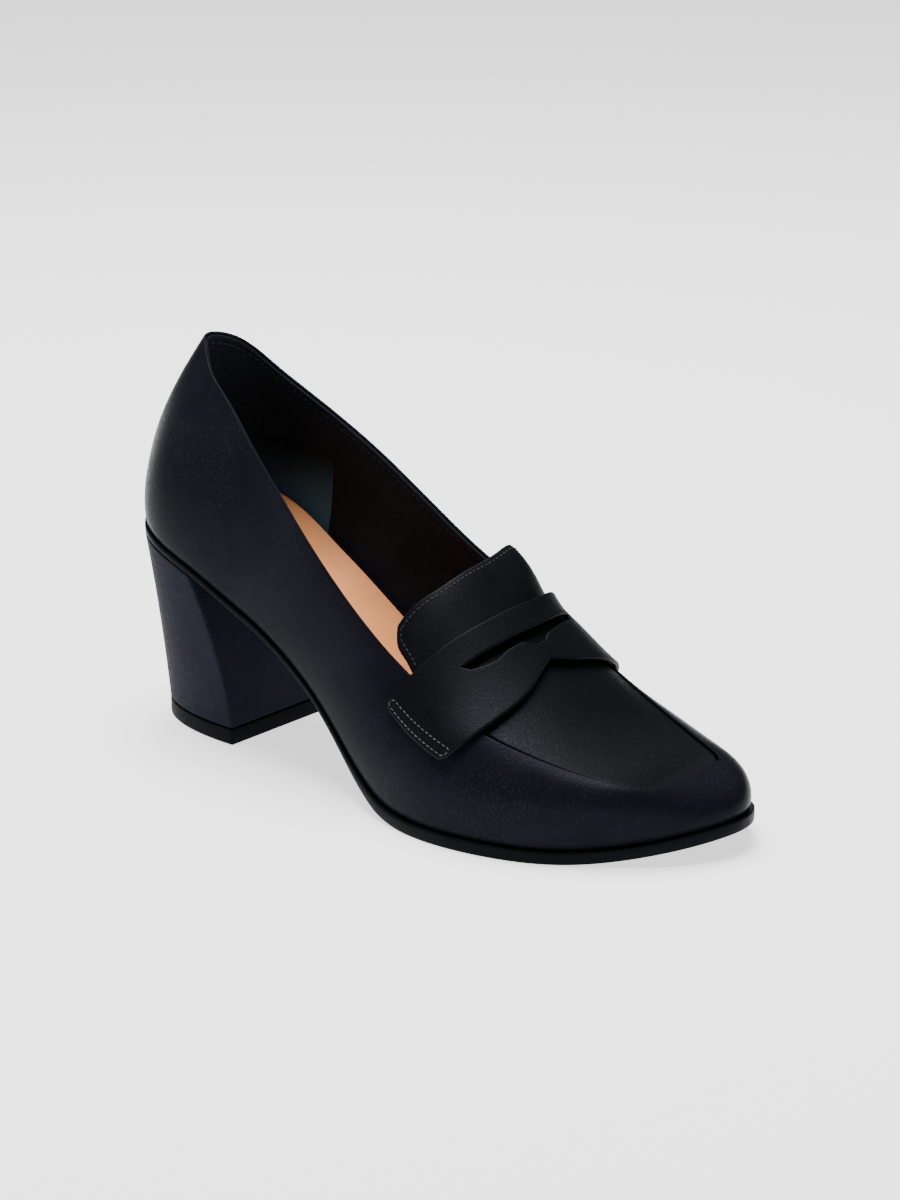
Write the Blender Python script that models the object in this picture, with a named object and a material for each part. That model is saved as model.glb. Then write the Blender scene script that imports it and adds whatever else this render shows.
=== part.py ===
"""Loafer pump, right shoe: low apron toe, saddle strap with a slot, short tongue, block heel.

Every table and length below is in millimetres, in the shoe's own frame: x runs from the heel
to the toe, y towards the inner side of the foot, z up from the floor. The finished objects are
in metres, with the origin on the floor under the middle of the shoe's box.

Places around the shoe are told by a clock: 0 at the back seam, then along the outer side to
the toe at about 0.5, and back along the inner side to 1.
"""
import bmesh
import bpy
import numpy as np

METRES_PER_MM = 0.001

# Driving dimensions
FLOOR_CENTRE = (113.05, -2.97)    # x and y of the middle of the shoe's box
SEAM_GAP = 0.45                   # between the vamp's edge and the apron, along the leather
FIT_GAP = 0.3                     # between pieces that lie on each other
WALL_THICKNESS = 1.8              # leather and lining of vamp and quarters
RIM_SKIVE = 0.7                   # how much lower the wall's rim is on its inner face
APRON_THICKNESS = 1.6
APRON_STEP = 0.8                  # how far the vamp's edge stands above the apron
STRAP_THICKNESS = 1.5
STRAP_LIFT = 1.35                 # underside of the strap above apron and tongue
STRAP_END_LIFT = 0.45             # underside of the strap's ends above the vamp
STRAP_SEAM_LIFT = 1.0             # the same between its ends and the apron's seam
INSOLE_THICKNESS = 4.0
INSOLE_MARGIN = 2.6               # insole's edge inside the feather line
OUTSOLE_ROUND = 0.4               # small round on the outsole's edge
TOP_PIECE_HEIGHT = 5.8
HEEL_BREAST_X = 48.0              # breast of the heel on the floor, outer corner
HEEL_DEPTH = 45.0                 # from the breast to the back of the top piece
HEEL_HALF_WIDTH = 24.4
HEEL_BREAST_TURN = 3.2            # how far the inner corner of the breast lies further forward
HEEL_SQUARENESS = 0.9             # 1 makes the top piece half an ellipse, less makes it fuller
HEEL_TOP_CLOCKS = (0.118, -0.106) # breast corners under the seat, outer and inner
HEEL_SIDE_HOLLOW = 1.05            # above 1 the heel's sides are hollow
HEEL_BREAST_HOLLOW = 1.9          # above 1 the breast bows forward
HEEL_TOP_MARGIN = 0.7             # heel's top edge outside the feather line

# Feather line, where the upper meets the sole, seen from above: clock, x, y
FEATHER = (
    (0.000, 0.2, 0.0),
    (0.028, 3.2, -13.4),
    (0.058, 12.0, -24.2),
    (0.100, 29.0, -30.4),
    (0.155, 54.0, -30.2),
    (0.210, 80.0, -30.2),
    (0.262, 104.0, -34.0),
    (0.305, 125.5, -40.6),
    (0.345, 146.0, -44.0),
    (0.380, 164.5, -42.2),
    (0.410, 180.0, -37.4),
    (0.437, 194.0, -29.8),
    (0.462, 206.5, -20.4),
    (0.485, 217.5, -9.4),
    (0.510, 225.0, 3.4),
    (0.532, 225.8, 13.6),
    (0.552, 220.6, 22.8),
    (0.578, 209.0, 30.6),
    (0.610, 193.0, 36.0),
    (0.645, 175.0, 37.8),
    (0.685, 155.0, 37.0),
    (0.735, 130.0, 32.0),
    (0.790, 102.0, 25.2),
    (0.845, 74.0, 23.2),
    (0.900, 48.0, 26.4),
    (0.942, 27.0, 28.0),
    (0.972, 10.5, 21.6),
)

# Height of the feather line along the shoe: seat, shank, ball and toe spring: x, z
RISE = (
    (-4.0, 72.5),
    (8.0, 71.0),
    (22.0, 67.0),
    (38.0, 61.3),
    (55.0, 52.8),
    (67.0, 46.6),
    (79.0, 38.9),
    (90.0, 30.6),
    (100.0, 22.0),
    (108.0, 15.2),
    (116.0, 9.9),
    (124.0, 6.3),
    (132.0, 4.8),
    (140.0, 4.4),
    (150.0, 4.3),
    (165.0, 4.3),
    (180.0, 4.3),
    (194.0, 4.9),
    (208.0, 7.0),
    (230.0, 12.4),
)

# Outsole along the shoe: x, thickness, how far its edge stands outside the feather line
OUTSOLE = (
    (-4.0, 2.8, 0.9),
    (10.0, 2.4, 0.7),
    (25.0, 2.1, 0.6),
    (90.0, 2.1, 0.6),
    (108.0, 2.6, 0.9),
    (124.0, 3.6, 1.3),
    (136.0, 4.0, 1.4),
    (160.0, 4.0, 1.4),
    (230.0, 4.0, 1.4),
)
FOREPART_THICKNESS = 4.0

# Upper edge of the wall, topline and then apron seam: clock, x, y, z, turn
# turn is 0 on a smooth stretch, 1 at a sharp corner, else half the clock width of a round one
RIM = (
    (0.000, 19.6, 0.0, 132.4, 0),
    (0.026, 23.3, -5.8, 129.7, 0),
    (0.050, 30.4, -11.6, 124.5, 0),
    (0.085, 44.0, -18.6, 117.8, 0),
    (0.125, 58.0, -24.4, 107.8, 0),
    (0.170, 75.0, -28.4, 92.8, 0),
    (0.225, 96.0, -30.4, 72.2, 0),
    (0.265, 114.0, -31.0, 57.2, 0),
    (0.300, 130.0, -30.2, 45.4, 0.020),
    (0.365, 158.0, -32.8, 35.8, 0),
    (0.405, 175.0, -29.8, 31.0, 0),
    (0.438, 192.0, -23.6, 26.8, 0),
    (0.472, 209.5, -14.6, 24.4, 0.030),
    (0.500, 211.8, 2.0, 24.0, 0),
    (0.534, 210.8, 18.8, 25.0, 0.025),
    (0.575, 195.0, 25.6, 27.4, 0),
    (0.620, 177.0, 29.8, 32.6, 0),
    (0.665, 160.0, 31.2, 40.4, 0),
    (0.700, 145.0, 30.4, 50.0, 0),
    (0.735, 130.0, 29.4, 59.6, 0.020),
    (0.770, 114.0, 28.4, 67.2, 0),
    (0.820, 90.0, 27.2, 82.6, 0),
    (0.870, 66.0, 25.6, 98.3, 0),
    (0.910, 46.0, 22.6, 110.4, 0),
    (0.945, 31.8, 18.4, 120.2, 0),
    (0.974, 23.2, 10.6, 129.3, 0),
)
THROAT_OUTER, THROAT_INNER = 0.300, 0.735
APRON_CORNER_OUTER, APRON_CORNER_INNER = 0.472, 0.534

# The apron's corners, cut into the wall below its rounded rim: clock, half width in clock, depth
# as a share of the wall's height
APRON_CORNERS = (
    (APRON_CORNER_OUTER, 0.030, 0.17),
    (APRON_CORNER_INNER, 0.025, 0.14),
)
CORNER_ROUND = 0.0035             # clock over which those corners are rounded

# Swell of the wall between feather line and rim: clock, then lean in degrees from level and
# pull as a share of the wall's height, at the foot and at the rim
WALL = (
    (0.000, 80, 0.32, 54, 0.38),
    (0.050, 80, 0.32, 54, 0.40),
    (0.110, 80, 0.34, 70, 0.36),
    (0.180, 80, 0.34, 80, 0.32),
    (0.260, 80, 0.36, 76, 0.32),
    (0.345, 84, 0.42, 44, 0.38),
    (0.410, 84, 0.44, 30, 0.42),
    (0.440, 82, 0.44, 20, 0.43),
    (0.472, 80, 0.45, 12, 0.43),
    (0.503, 76, 0.44, 15, 0.42),
    (0.534, 80, 0.45, 12, 0.43),
    (0.565, 82, 0.44, 20, 0.42),
    (0.610, 84, 0.44, 28, 0.43),
    (0.685, 84, 0.42, 54, 0.38),
    (0.770, 74, 0.36, 76, 0.32),
    (0.860, 72, 0.34, 80, 0.32),
    (0.950, 78, 0.32, 60, 0.38),
)

# Crown of apron and tongue above its two side lines: x, height, fullness on either side
CROWN = (
    (112.0, 19.0, 3.0, 6.0),
    (122.0, 19.0, 3.0, 6.0),
    (130.0, 18.4, 2.9, 7.0),
    (136.0, 16.6, 2.85, 6.0),
    (141.0, 14.7, 2.8, 3.2),
    (150.0, 11.8, 2.6, 2.6),
    (160.0, 9.2, 2.4, 2.4),
    (172.0, 6.2, 2.2, 2.2),
    (186.0, 3.2, 2.1, 2.1),
    (200.0, 0.9, 2.0, 2.0),
    (211.0, -0.7, 2.0, 2.0),
    (220.0, -0.9, 2.0, 2.0),
)
CROWN_SKEW = 0.11                 # how far the ridge leans to the inner side, as a share

# Side lines of the tongue behind the throat: x, then y and z on either side
TONGUE_SIDES = (
    (124.0, -28.6, 49.6, 27.6, 62.4),
    (112.0, -27.2, 57.8, 26.8, 68.8),
)

# Free edge of the tongue from above, from the outer throat round to the inner: x, y
TONGUE_EDGE_OUTER = ((125.0, -28.2), (121.2, -26.9))
TONGUE_EDGE_TIP = (
    (119.6, -24.6), (121.3, -20.6), (125.8, -12.2), (128.1, 0.0), (129.2, 13.0), (128.2, 25.0),
)
TONGUE_EDGE_INNER = ((130.0, 28.6), (129.2, 27.4))

# Strap over the instep: share across the apron from -1 to 1, x of its back, x of its front
STRAP_EDGES = (
    (-1.00, 129.9, 159.8),
    (-0.75, 135.8, 161.8),
    (-0.50, 138.9, 162.9),
    (-0.20, 141.4, 163.4),
    (0.13, 142.7, 163.8),
    (0.60, 142.5, 163.9),
    (1.00, 138.9, 163.6),
)
STRAP_CLOCKS_OUTER = (0.3015, 0.3685)    # where its back and its front cross the outer seam
STRAP_CLOCKS_INNER = (0.7150, 0.6570)
STRAP_END_CLOCKS_OUTER = (0.2935, 0.3525)  # back and front corner of its sewn end on the vamp
STRAP_END_CLOCKS_INNER = (0.724, 0.673)
STRAP_END_HEIGHTS_OUTER = (0.705, 0.605)   # as shares of the wall's height
STRAP_END_HEIGHTS_INNER = (0.72, 0.62)
STRAP_END = 1.46                         # share across the apron that stands for its sewn end
STRAP_END_ROUND = 0.10                   # share over which its end corners are rounded
STRAP_END_CUT = 0.09                     # share of the strap's width cut off at those corners
STRAP_GUIDES = (-0.86, -0.55, -0.20, 0.20, 0.55, 0.86)   # shares at which it follows the crown

# Front edge of the strap with its notch: share across, share of the way from back to front
STRAP_FRONT_OUTER = (
    (-1.46, 1.0), (-0.8, 1.0), (-0.55, 0.99), (-0.32, 0.938), (-0.10, 0.834), (0.06, 0.764),
)
STRAP_FRONT_INNER = ((0.06, 0.764), (0.37, 0.924), (0.75, 0.985), (1.0, 1.0), (1.46, 1.0))

# Slot in the strap: share across, then its back and its front edge as shares from back to front
SLOT = (
    (-0.71, 0.305, 0.305),
    (-0.67, 0.303, 0.377),
    (-0.57, 0.300, 0.422),
    (-0.43, 0.303, 0.450),
    (-0.27, 0.315, 0.417),
    (-0.06, 0.315, 0.422),
    (0.03, 0.316, 0.521),
    (0.17, 0.321, 0.527),
    (0.26, 0.325, 0.462),
    (0.43, 0.327, 0.436),
    (0.62, 0.315, 0.400),
    (0.76, 0.302, 0.387),
    (0.80, 0.305, 0.305),
)

# Softening of the side lines where the seam gives way to the free tongue
SIDE_STEP = 0.5                   # spacing of the side table along x
SIDE_X = (112.0, 214.0)
SOFT_STEPS = 12                   # half width of the softening, in steps of the side table
SOFT_FADE = (138.0, 146.0)        # full softening behind the first x, none from the second on

# How finely each piece is divided
WALL_MARKS = (
    (0.000, 12), (0.100, 12), (THROAT_OUTER, 13), (0.456, 4), (0.468, 4), (0.476, 5), (0.496, 3),
    (0.520, 3), (0.531, 3), (0.537, 3), (0.548, 12), (THROAT_INNER, 12), (0.900, 12),
)
WALL_STEPS = 9
STRAP_KNOTS = 9
SOLE_STATIONS = 64
APRON_STEPS = (22, 16)
STRAP_ROWS = (4, 7)
STRAP_COLUMN_GAP = 0.09
HEEL_POINTS = 36
HEEL_STEPS = 7


def spline(knots, rows, at, closed=False):
    """Smooth curve through the rows at the knots, a cubic whose bend is even at every knot."""
    t = np.asarray(knots, float)
    p = np.asarray(rows, float)
    at = np.asarray(at, float)
    if closed:
        t = np.append(t, t[0] + 1.0)
        p = np.vstack([p, p[:1]])
        at = np.mod(at - t[0], 1.0) + t[0]
    last = len(t) - 1
    h = np.diff(t)
    slope = np.diff(p, axis=0) / h[:, None]
    left = np.zeros((last + 1, last + 1))
    right = np.zeros((last + 1, p.shape[1]))
    for i in range(1, last):
        left[i, i - 1:i + 2] = h[i - 1], 2 * (h[i - 1] + h[i]), h[i]
        right[i] = 6 * (slope[i] - slope[i - 1])
    if closed:
        left[0, 0], left[0, last] = 1, -1
        left[last, [0, 1, last - 1, last]] = 2 * h[0], h[0], h[-1], 2 * h[-1]
        right[last] = 6 * (slope[0] - slope[-1])
    else:
        left[0, 0] = left[last, last] = 1
    bend = np.linalg.solve(left, right)
    k = np.clip(np.searchsorted(t, at, side="right") - 1, 0, last - 1)
    width = h[k][..., None]
    past = (at - t[k])[..., None]
    ahead = width - past
    cubic = (bend[k] * ahead ** 3 + bend[k + 1] * past ** 3) / (6 * width)
    return (cubic + (p[k] / width - bend[k] * width / 6) * ahead
            + (p[k + 1] / width - bend[k + 1] * width / 6) * past)


def table_spline(table, at, closed=False):
    """The columns after the first, as a smooth function of the first."""
    rows = np.array(table, float)
    return spline(rows[:, 0], rows[:, 1:], at, closed)


def unit(vectors):
    return vectors / np.linalg.norm(vectors, axis=-1, keepdims=True)


def rise(x):
    """Height of the feather line, never below a sole that lies flat on the floor."""
    return np.maximum(table_spline(RISE, x)[..., 0], FOREPART_THICKNESS + FIT_GAP)


def outsole_size(x):
    """Thickness of the outsole at x, and how far its edge stands outside the feather line."""
    rows = np.array(OUTSOLE)
    return np.interp(x, rows[:, 0], rows[:, 1]), np.interp(x, rows[:, 0], rows[:, 2])


def feather(clock):
    plan = table_spline(FEATHER, clock, closed=True)
    return np.concatenate([plan, rise(plan[..., 0])[..., None]], axis=-1)


def outward(clock):
    """Level direction away from the shoe, square to the feather line."""
    step = 1e-4
    along = feather(clock + step) - feather(clock - step)
    flat = np.stack([along[..., 1], -along[..., 0], np.zeros(along.shape[:-1])], axis=-1)
    return unit(flat)


def rim_with_corners(clock):
    """Upper edge of the wall as smooth stretches that meet in sharp corners."""
    clock = np.mod(np.asarray(clock, float), 1.0)
    rows = np.array(RIM, float)
    count = len(rows)
    turns = np.flatnonzero(rows[:, 4])
    points = np.zeros(clock.shape + (3,))
    for first, end in zip(turns, np.append(turns[1:], turns[0] + count)):
        order = np.arange(first, end + 1)
        knots = rows[order % count, 0] + order // count
        for lap in (0.0, 1.0):
            inside = (clock + lap >= knots[0]) & (clock + lap <= knots[-1])
            points[inside] = spline(knots, rows[order % count, 1:4], clock[inside] + lap)
    return points


def rim(clock):
    """Upper edge of the wall, with the corners at the apron's front and at the throat rounded."""
    clock = np.mod(np.asarray(clock, float), 1.0)
    points = rim_with_corners(clock)
    for corner, _, _, _, turn in RIM:
        if 0 < turn < 1:
            near = np.abs(clock - corner) < turn
            share = ((clock[near] - corner) / turn / 2 + 0.5)[:, None]
            start, apex, end = rim_with_corners([corner - turn, corner, corner + turn])
            points[near] = ((1 - share) ** 2 * start + 2 * share * (1 - share) * apex
                            + share ** 2 * end)
    return points


def wall(clock, height):
    """Outer face of the upper: one row for each clock, one column for each share of height.

    The shares are the same for every clock, or a row of them is given for each.
    """
    foot, edge, out = feather(clock), rim(clock), outward(clock)
    swell = table_spline(WALL, clock, closed=True)
    tall = np.linalg.norm(edge - foot, axis=-1)[:, None]
    foot_lean, rim_lean = np.radians(swell[:, 0:1]), np.radians(swell[:, 2:3])
    up = np.array([0.0, 0.0, 1.0])
    low = foot + swell[:, 1:2] * tall * (np.cos(foot_lean) * out + np.sin(foot_lean) * up)
    high = edge + swell[:, 3:4] * tall * (np.cos(rim_lean) * out - np.sin(rim_lean) * up)
    v = np.atleast_2d(height)[..., None]
    foot, low, high, edge = (points[:, None, :] for points in (foot, low, high, edge))
    return (1 - v) ** 3 * foot + 3 * v * (1 - v) ** 2 * low + 3 * v * v * (1 - v) * high + v ** 3 * edge


def grid_normals(grid, closed=False):
    """Unit normals of a grid of points, rows along the first axis."""
    if closed:
        along = np.roll(grid, -1, axis=0) - np.roll(grid, 1, axis=0)
    else:
        along = np.gradient(grid, axis=0)
    across = np.gradient(grid, axis=1)
    return unit(np.cross(along, across))


def edge_height(clock):
    """Share of the wall's height at which the leather is cut: 1, but less at the apron's corners."""
    height = np.ones(np.shape(clock))
    for corner, half_width, depth in APRON_CORNERS:
        away = np.sqrt((clock - corner) ** 2 + CORNER_ROUND ** 2) - CORNER_ROUND
        height -= depth * np.clip(1 - away / half_width, 0, 1) ** 2
    return height


def cut_edge(clock):
    """The leather's upper edge."""
    return wall(clock, edge_height(clock)[:, None])[:, 0]


def edge_frame(clock):
    """Edge point, direction up the wall and direction out of the leather, for each clock."""
    height = edge_height(clock)
    strip = wall(clock, np.stack([height - 0.015, height], axis=-1))
    up = unit(strip[:, 1] - strip[:, 0])
    step = 1e-4
    along = unit(cut_edge(clock + step) - cut_edge(clock - step))
    out = unit(np.cross(along, up))
    return strip[:, 1], unit(np.cross(out, along)), out


def apron_line(clock):
    """Border of the apron, just inside the rim and a step below it."""
    point, up, out = edge_frame(clock)
    return point + SEAM_GAP * up - APRON_STEP * out


def side_table():
    """x, then y and z of the apron's outer border and y and z of its inner border.

    The bend where the seam ends and the free tongue begins is softened.
    """
    sides = np.array(TONGUE_SIDES, float)
    x = np.arange(*SIDE_X, SIDE_STEP)
    columns = [x]
    reach = np.arange(-SOFT_STEPS, SOFT_STEPS + 1)
    weights = np.exp(-(2 * reach / SOFT_STEPS) ** 2)
    behind = np.clip((SOFT_FADE[1] - x) / (SOFT_FADE[1] - SOFT_FADE[0]), 0, 1)
    for corner, throat, side in (
            (APRON_CORNER_OUTER, THROAT_OUTER, (0, 1, 2)),
            (APRON_CORNER_INNER, THROAT_INNER, (0, 3, 4))):
        line = np.vstack([apron_line(np.linspace(corner, throat, 121)), sides[:, side]])
        line = line[np.argsort(line[:, 0])]
        for column in (1, 2):
            exact = np.interp(x, line[:, 0], line[:, column])
            ends = np.pad(exact, SOFT_STEPS, mode="reflect", reflect_type="odd")
            soft = np.convolve(ends, weights / weights.sum(), mode="valid")
            columns.append(exact + (soft - exact) * behind)
    return np.array(columns)


SIDE_TABLE = side_table()


def side_lines(x):
    """y and z of the apron's outer border, then of its inner border, at x."""
    return [np.interp(x, SIDE_TABLE[0], column) for column in SIDE_TABLE[1:]]


def crown(x, y):
    """Height of the upper face of apron and tongue."""
    outer_y, outer_z, inner_y, inner_z = side_lines(x)
    height, outer_fullness, inner_fullness = np.moveaxis(table_spline(CROWN, x), -1, 0)
    share = np.clip((2 * y - outer_y - inner_y) / (inner_y - outer_y), -1, 1)
    leaning = share - CROWN_SKEW * (1 - share ** 2)
    fullness = np.where(leaning < 0, outer_fullness, inner_fullness)
    return (outer_z + (inner_z - outer_z) * (share + 1) / 2
            + height * (1 - np.abs(leaning) ** fullness))


def resample(line, count):
    """The same line as evenly spaced points."""
    line = np.asarray(line, float)
    length = np.append(0, np.cumsum(np.linalg.norm(np.diff(line, axis=0), axis=1)))
    even = np.linspace(0, length[-1], count)
    return np.stack([np.interp(even, length, line[:, i]) for i in range(line.shape[1])], axis=-1)


def smooth_line(points, count):
    """A smooth line through a few points."""
    points = np.asarray(points, float)
    length = np.append(0, np.cumsum(np.linalg.norm(np.diff(points, axis=0), axis=1)))
    return spline(length, points, np.linspace(0, length[-1], count))


def coons(front, back, outer, inner):
    """Grid of points between four border lines, rows from front to back."""
    v = np.linspace(0, 1, len(outer))[:, None, None]
    u = np.linspace(0, 1, len(front))[None, :, None]
    ruled = (1 - v) * front[None] + v * back[None] + (1 - u) * outer[:, None] + u * inner[:, None]
    corners = ((1 - v) * ((1 - u) * front[0] + u * front[-1]) + v * ((1 - u) * back[0] + u * back[-1]))
    return ruled - corners


def apron_grid(steps_along, steps_across):
    """Upper face of apron and tongue: rows from the front edge to the tip of the tongue."""
    outer_seam = apron_line(np.linspace(APRON_CORNER_OUTER, THROAT_OUTER, 81))[:, :2]
    inner_seam = apron_line(np.linspace(APRON_CORNER_INNER, THROAT_INNER, 81))[:, :2]
    front = apron_line(np.linspace(APRON_CORNER_OUTER, APRON_CORNER_INNER, 121))[:, :2]
    tip = smooth_line(TONGUE_EDGE_TIP, 61)
    outer = np.vstack([outer_seam, TONGUE_EDGE_OUTER, tip[:1]])
    inner = np.vstack([inner_seam, TONGUE_EDGE_INNER, tip[-1:]])
    plan = coons(resample(front, steps_across + 1), resample(tip, steps_across + 1),
                 resample(outer, steps_along + 1), resample(inner, steps_along + 1))
    return np.concatenate([plan, crown(plan[..., 0], plan[..., 1])[..., None]], axis=-1)


def lifted_crown(x, y, lift):
    """Points above the apron, each moved square to its face."""
    step = 0.2
    z = crown(x, y)
    slope_x = (crown(x + step, y) - z) / step
    slope_y = (crown(x, y + step) - crown(x, y - step)) / (2 * step)
    normal = unit(np.stack([-slope_x, -slope_y, np.ones_like(z)], axis=-1))
    return np.stack([x, y, z], axis=-1) + lift * normal


def strap_end_guides(along, clocks, end_clocks, end_heights):
    """Two points on the vamp under the strap's end: at the end, and half way up to the seam."""
    seam_clock = np.interp(along, (0, 1), clocks)
    end_clock = np.interp(along, (0, 1), end_clocks)
    end_height = np.interp(along, (0, 1), end_heights)
    points = []
    for share, lift in ((0.0, STRAP_END_LIFT), (0.5, STRAP_SEAM_LIFT)):
        clock = end_clock + share * (seam_clock - end_clock)
        height = end_height + share * (1 - end_height)
        near = wall(np.array([clock - 2e-3, clock, clock + 2e-3]), (height - 0.02, height))
        normal = unit(np.cross(near[2, 1] - near[0, 1], near[1, 1] - near[1, 0]))
        points.append(near[1, 1] + lift * normal)
    return points


def strap_section(along, across):
    """Underside of the strap on one line across the foot, from its outer to its inner end."""
    shares = np.array(STRAP_GUIDES)
    edges = table_spline(STRAP_EDGES, shares)
    x = edges[:, 0] + along * (edges[:, 1] - edges[:, 0])
    outer_y, _, inner_y, _ = side_lines(x)
    y = (outer_y + inner_y) / 2 + shares * (inner_y - outer_y) / 2
    top = lifted_crown(x, y, STRAP_LIFT)
    outer = strap_end_guides(along, STRAP_CLOCKS_OUTER, STRAP_END_CLOCKS_OUTER, STRAP_END_HEIGHTS_OUTER)
    inner = strap_end_guides(along, STRAP_CLOCKS_INNER, STRAP_END_CLOCKS_INNER, STRAP_END_HEIGHTS_INNER)
    half_way = (STRAP_END + 1) / 2
    knots = np.concatenate([(-STRAP_END, -half_way), shares, (half_way, STRAP_END)])
    return spline(knots, np.vstack([outer, top, inner[::-1]]), across)


def strap_front(across):
    """Front edge of the strap as a share of the way from its back edge."""
    outer = table_spline(STRAP_FRONT_OUTER, np.minimum(across, STRAP_FRONT_OUTER[-1][0]))[..., 0]
    inner = table_spline(STRAP_FRONT_INNER, np.maximum(across, STRAP_FRONT_INNER[0][0]))[..., 0]
    return np.where(across < STRAP_FRONT_OUTER[-1][0], outer, inner)


def strap_grid(column_gap, rows):
    """Underside of the strap as rows of points, and which columns the slot parts.

    rows holds how many bands lie behind the slot and how many before it. The two rows that
    border the slot are the same outside its two tips.
    """
    marks = [-STRAP_END, STRAP_FRONT_INNER[0][0], STRAP_END] + [row[0] for row in SLOT]
    marks = sorted(set(marks))
    columns = [marks[0]]
    for low, high in zip(marks, marks[1:]):
        count = max(1, round((high - low) / column_gap))
        columns += list(np.linspace(low, high, count + 1)[1:])
    columns = np.array(columns)
    slot = np.array(SLOT)
    slot_back = np.interp(columns, slot[:, 0], slot[:, 1])
    slot_front = np.interp(columns, slot[:, 0], slot[:, 2])
    from_end = np.clip((STRAP_END - np.abs(columns)) / STRAP_END_ROUND, 0, 1)
    rounding = STRAP_END_CUT * (1 - np.sqrt(1 - (1 - from_end) ** 2))
    back, front = rounding, strap_front(columns) - rounding
    share = np.vstack(
        [back + (slot_back - back) * s for s in np.linspace(0, 1, rows[0] + 1)]
        + [slot_front + (front - slot_front) * s for s in np.linspace(0, 1, rows[1] + 1)])
    knots = np.linspace(0, 1, STRAP_KNOTS)
    sections = np.array([strap_section(along, columns) for along in knots])
    points = np.stack([spline(knots, sections[:, j], share[:, j]) for j in range(len(columns))], axis=1)
    parted = (columns > SLOT[0][0] + 1e-6) & (columns < SLOT[-1][0] - 1e-6)
    return points, parted


def grid_faces(rows, columns, closed=False):
    """Quads of a grid of points numbered row by row; closed joins the last row to the first."""
    faces = []
    for i in range(rows if closed else rows - 1):
        nearer, further = i * columns, (i + 1) % rows * columns
        for j in range(columns - 1):
            faces.append((nearer + j, further + j, further + j + 1, nearer + j + 1))
    return faces


def thickened(sheet, other_side, faces):
    """Closed solid between a sheet and its other side, which share their faces."""
    count = len(sheet)
    edges = {edge for face in faces for edge in zip(face, face[1:] + face[:1])}
    solid = list(faces) + [tuple(index + count for index in reversed(face)) for face in faces]
    for a, b in edges:
        if (b, a) not in edges:
            solid.append((b, a, a + count, b + count))
    return np.vstack([sheet, other_side]), solid


def lofted(loops):
    """Closed solid through loops of equal count. Its ends are closed by strips that join the
    points of a loop in pairs, the first with the last."""
    count = len(loops[0])
    faces = []
    for level in range(len(loops) - 1):
        for i in range(count):
            a, b = level * count + i, level * count + (i + 1) % count
            faces.append((a, b, b + count, a + count))
    top = (len(loops) - 1) * count
    for i in range(count // 2 - 1):
        faces.append((i, count - 1 - i, count - 2 - i, i + 1))
        faces.append((top + i, top + i + 1, top + count - 2 - i, top + count - 1 - i))
    return np.vstack(loops), faces


def moved_out(loop, distance):
    """A flat loop moved outwards, each point along its corner's middle direction."""
    along = np.roll(loop, -1, axis=0) - np.roll(loop, 1, axis=0)
    out = unit(np.stack([along[:, 1], -along[:, 0]], axis=-1))
    return loop + distance * out


def material(name, colour, roughness):
    """Plain material; the colour is linear."""
    made = bpy.data.materials.new(name)
    made.use_nodes = True
    shader = made.node_tree.nodes["Principled BSDF"]
    shader.inputs["Base Color"].default_value = (*colour, 1.0)
    shader.inputs["Roughness"].default_value = roughness
    shader.inputs["Metallic"].default_value = 0.0
    return made


def piece(name, points, faces, finish, sharp_angle=0.7):
    """Object from points in millimetres, with its faces pointing out."""
    centre = np.array([FLOOR_CENTRE[0], FLOOR_CENTRE[1], 0.0])
    mesh = bpy.data.meshes.new(name)
    mesh.from_pydata(((points - centre) * METRES_PER_MM).tolist(), [], faces)
    work = bmesh.new()
    work.from_mesh(mesh)
    bmesh.ops.recalc_face_normals(work, faces=work.faces)
    work.to_mesh(mesh)
    work.free()
    mesh.shade_smooth()
    mesh.set_sharp_from_angle(angle=sharp_angle)
    mesh.materials.append(finish)
    made = bpy.data.objects.new(name, mesh)
    bpy.context.scene.collection.objects.link(made)
    return made


def sole_loop():
    """Feather line from above as pairs of points at the same x, outer side first."""
    clock = np.linspace(0, 1, 2001)
    x = feather(clock)[:, 0]
    toe = int(np.argmax(x))
    heel = int(np.argmin(x[:200]))
    swing = 0.5 - 0.5 * np.cos(np.linspace(0.12, np.pi - 0.12, SOLE_STATIONS))
    stations = x[heel] + (x[toe] - x[heel]) * swing
    outer = np.interp(stations, x[heel:toe + 1], clock[heel:toe + 1])
    inner = np.interp(stations, x[:toe - 1:-1], clock[:toe - 1:-1])
    return feather(np.concatenate([outer, inner[::-1]]))[:, :2]


def sole_level(loop, margin, below):
    """The sole's loop moved out by margin, at a depth below the feather line."""
    plan = moved_out(loop, margin)
    return np.column_stack([plan, rise(plan[:, 0]) - below])


def outsole_level(loop, inset, share, drop):
    """Loop round the outsole, inset from its edge, at a share of its thickness from the top."""
    thickness, margin = outsole_size(loop[:, 0])
    plan = moved_out(loop, (margin - inset)[:, None])
    return np.column_stack([plan, rise(plan[:, 0]) - FIT_GAP - share * thickness - drop])


def make_outsole(finish):
    loop = sole_loop()
    r = OUTSOLE_ROUND
    loops = [outsole_level(loop, r, 1, 0), outsole_level(loop, 0, 1, -r),
             outsole_level(loop, 0, 0, r), outsole_level(loop, r, 0, 0)]
    return piece("outsole", *lofted(loops), finish)


def make_insole(finish):
    loop = sole_loop()
    loops = [sole_level(loop, -INSOLE_MARGIN, 0.0),
             sole_level(loop, -INSOLE_MARGIN, -INSOLE_THICKNESS)]
    return piece("insole", *lofted(loops), finish)


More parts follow.
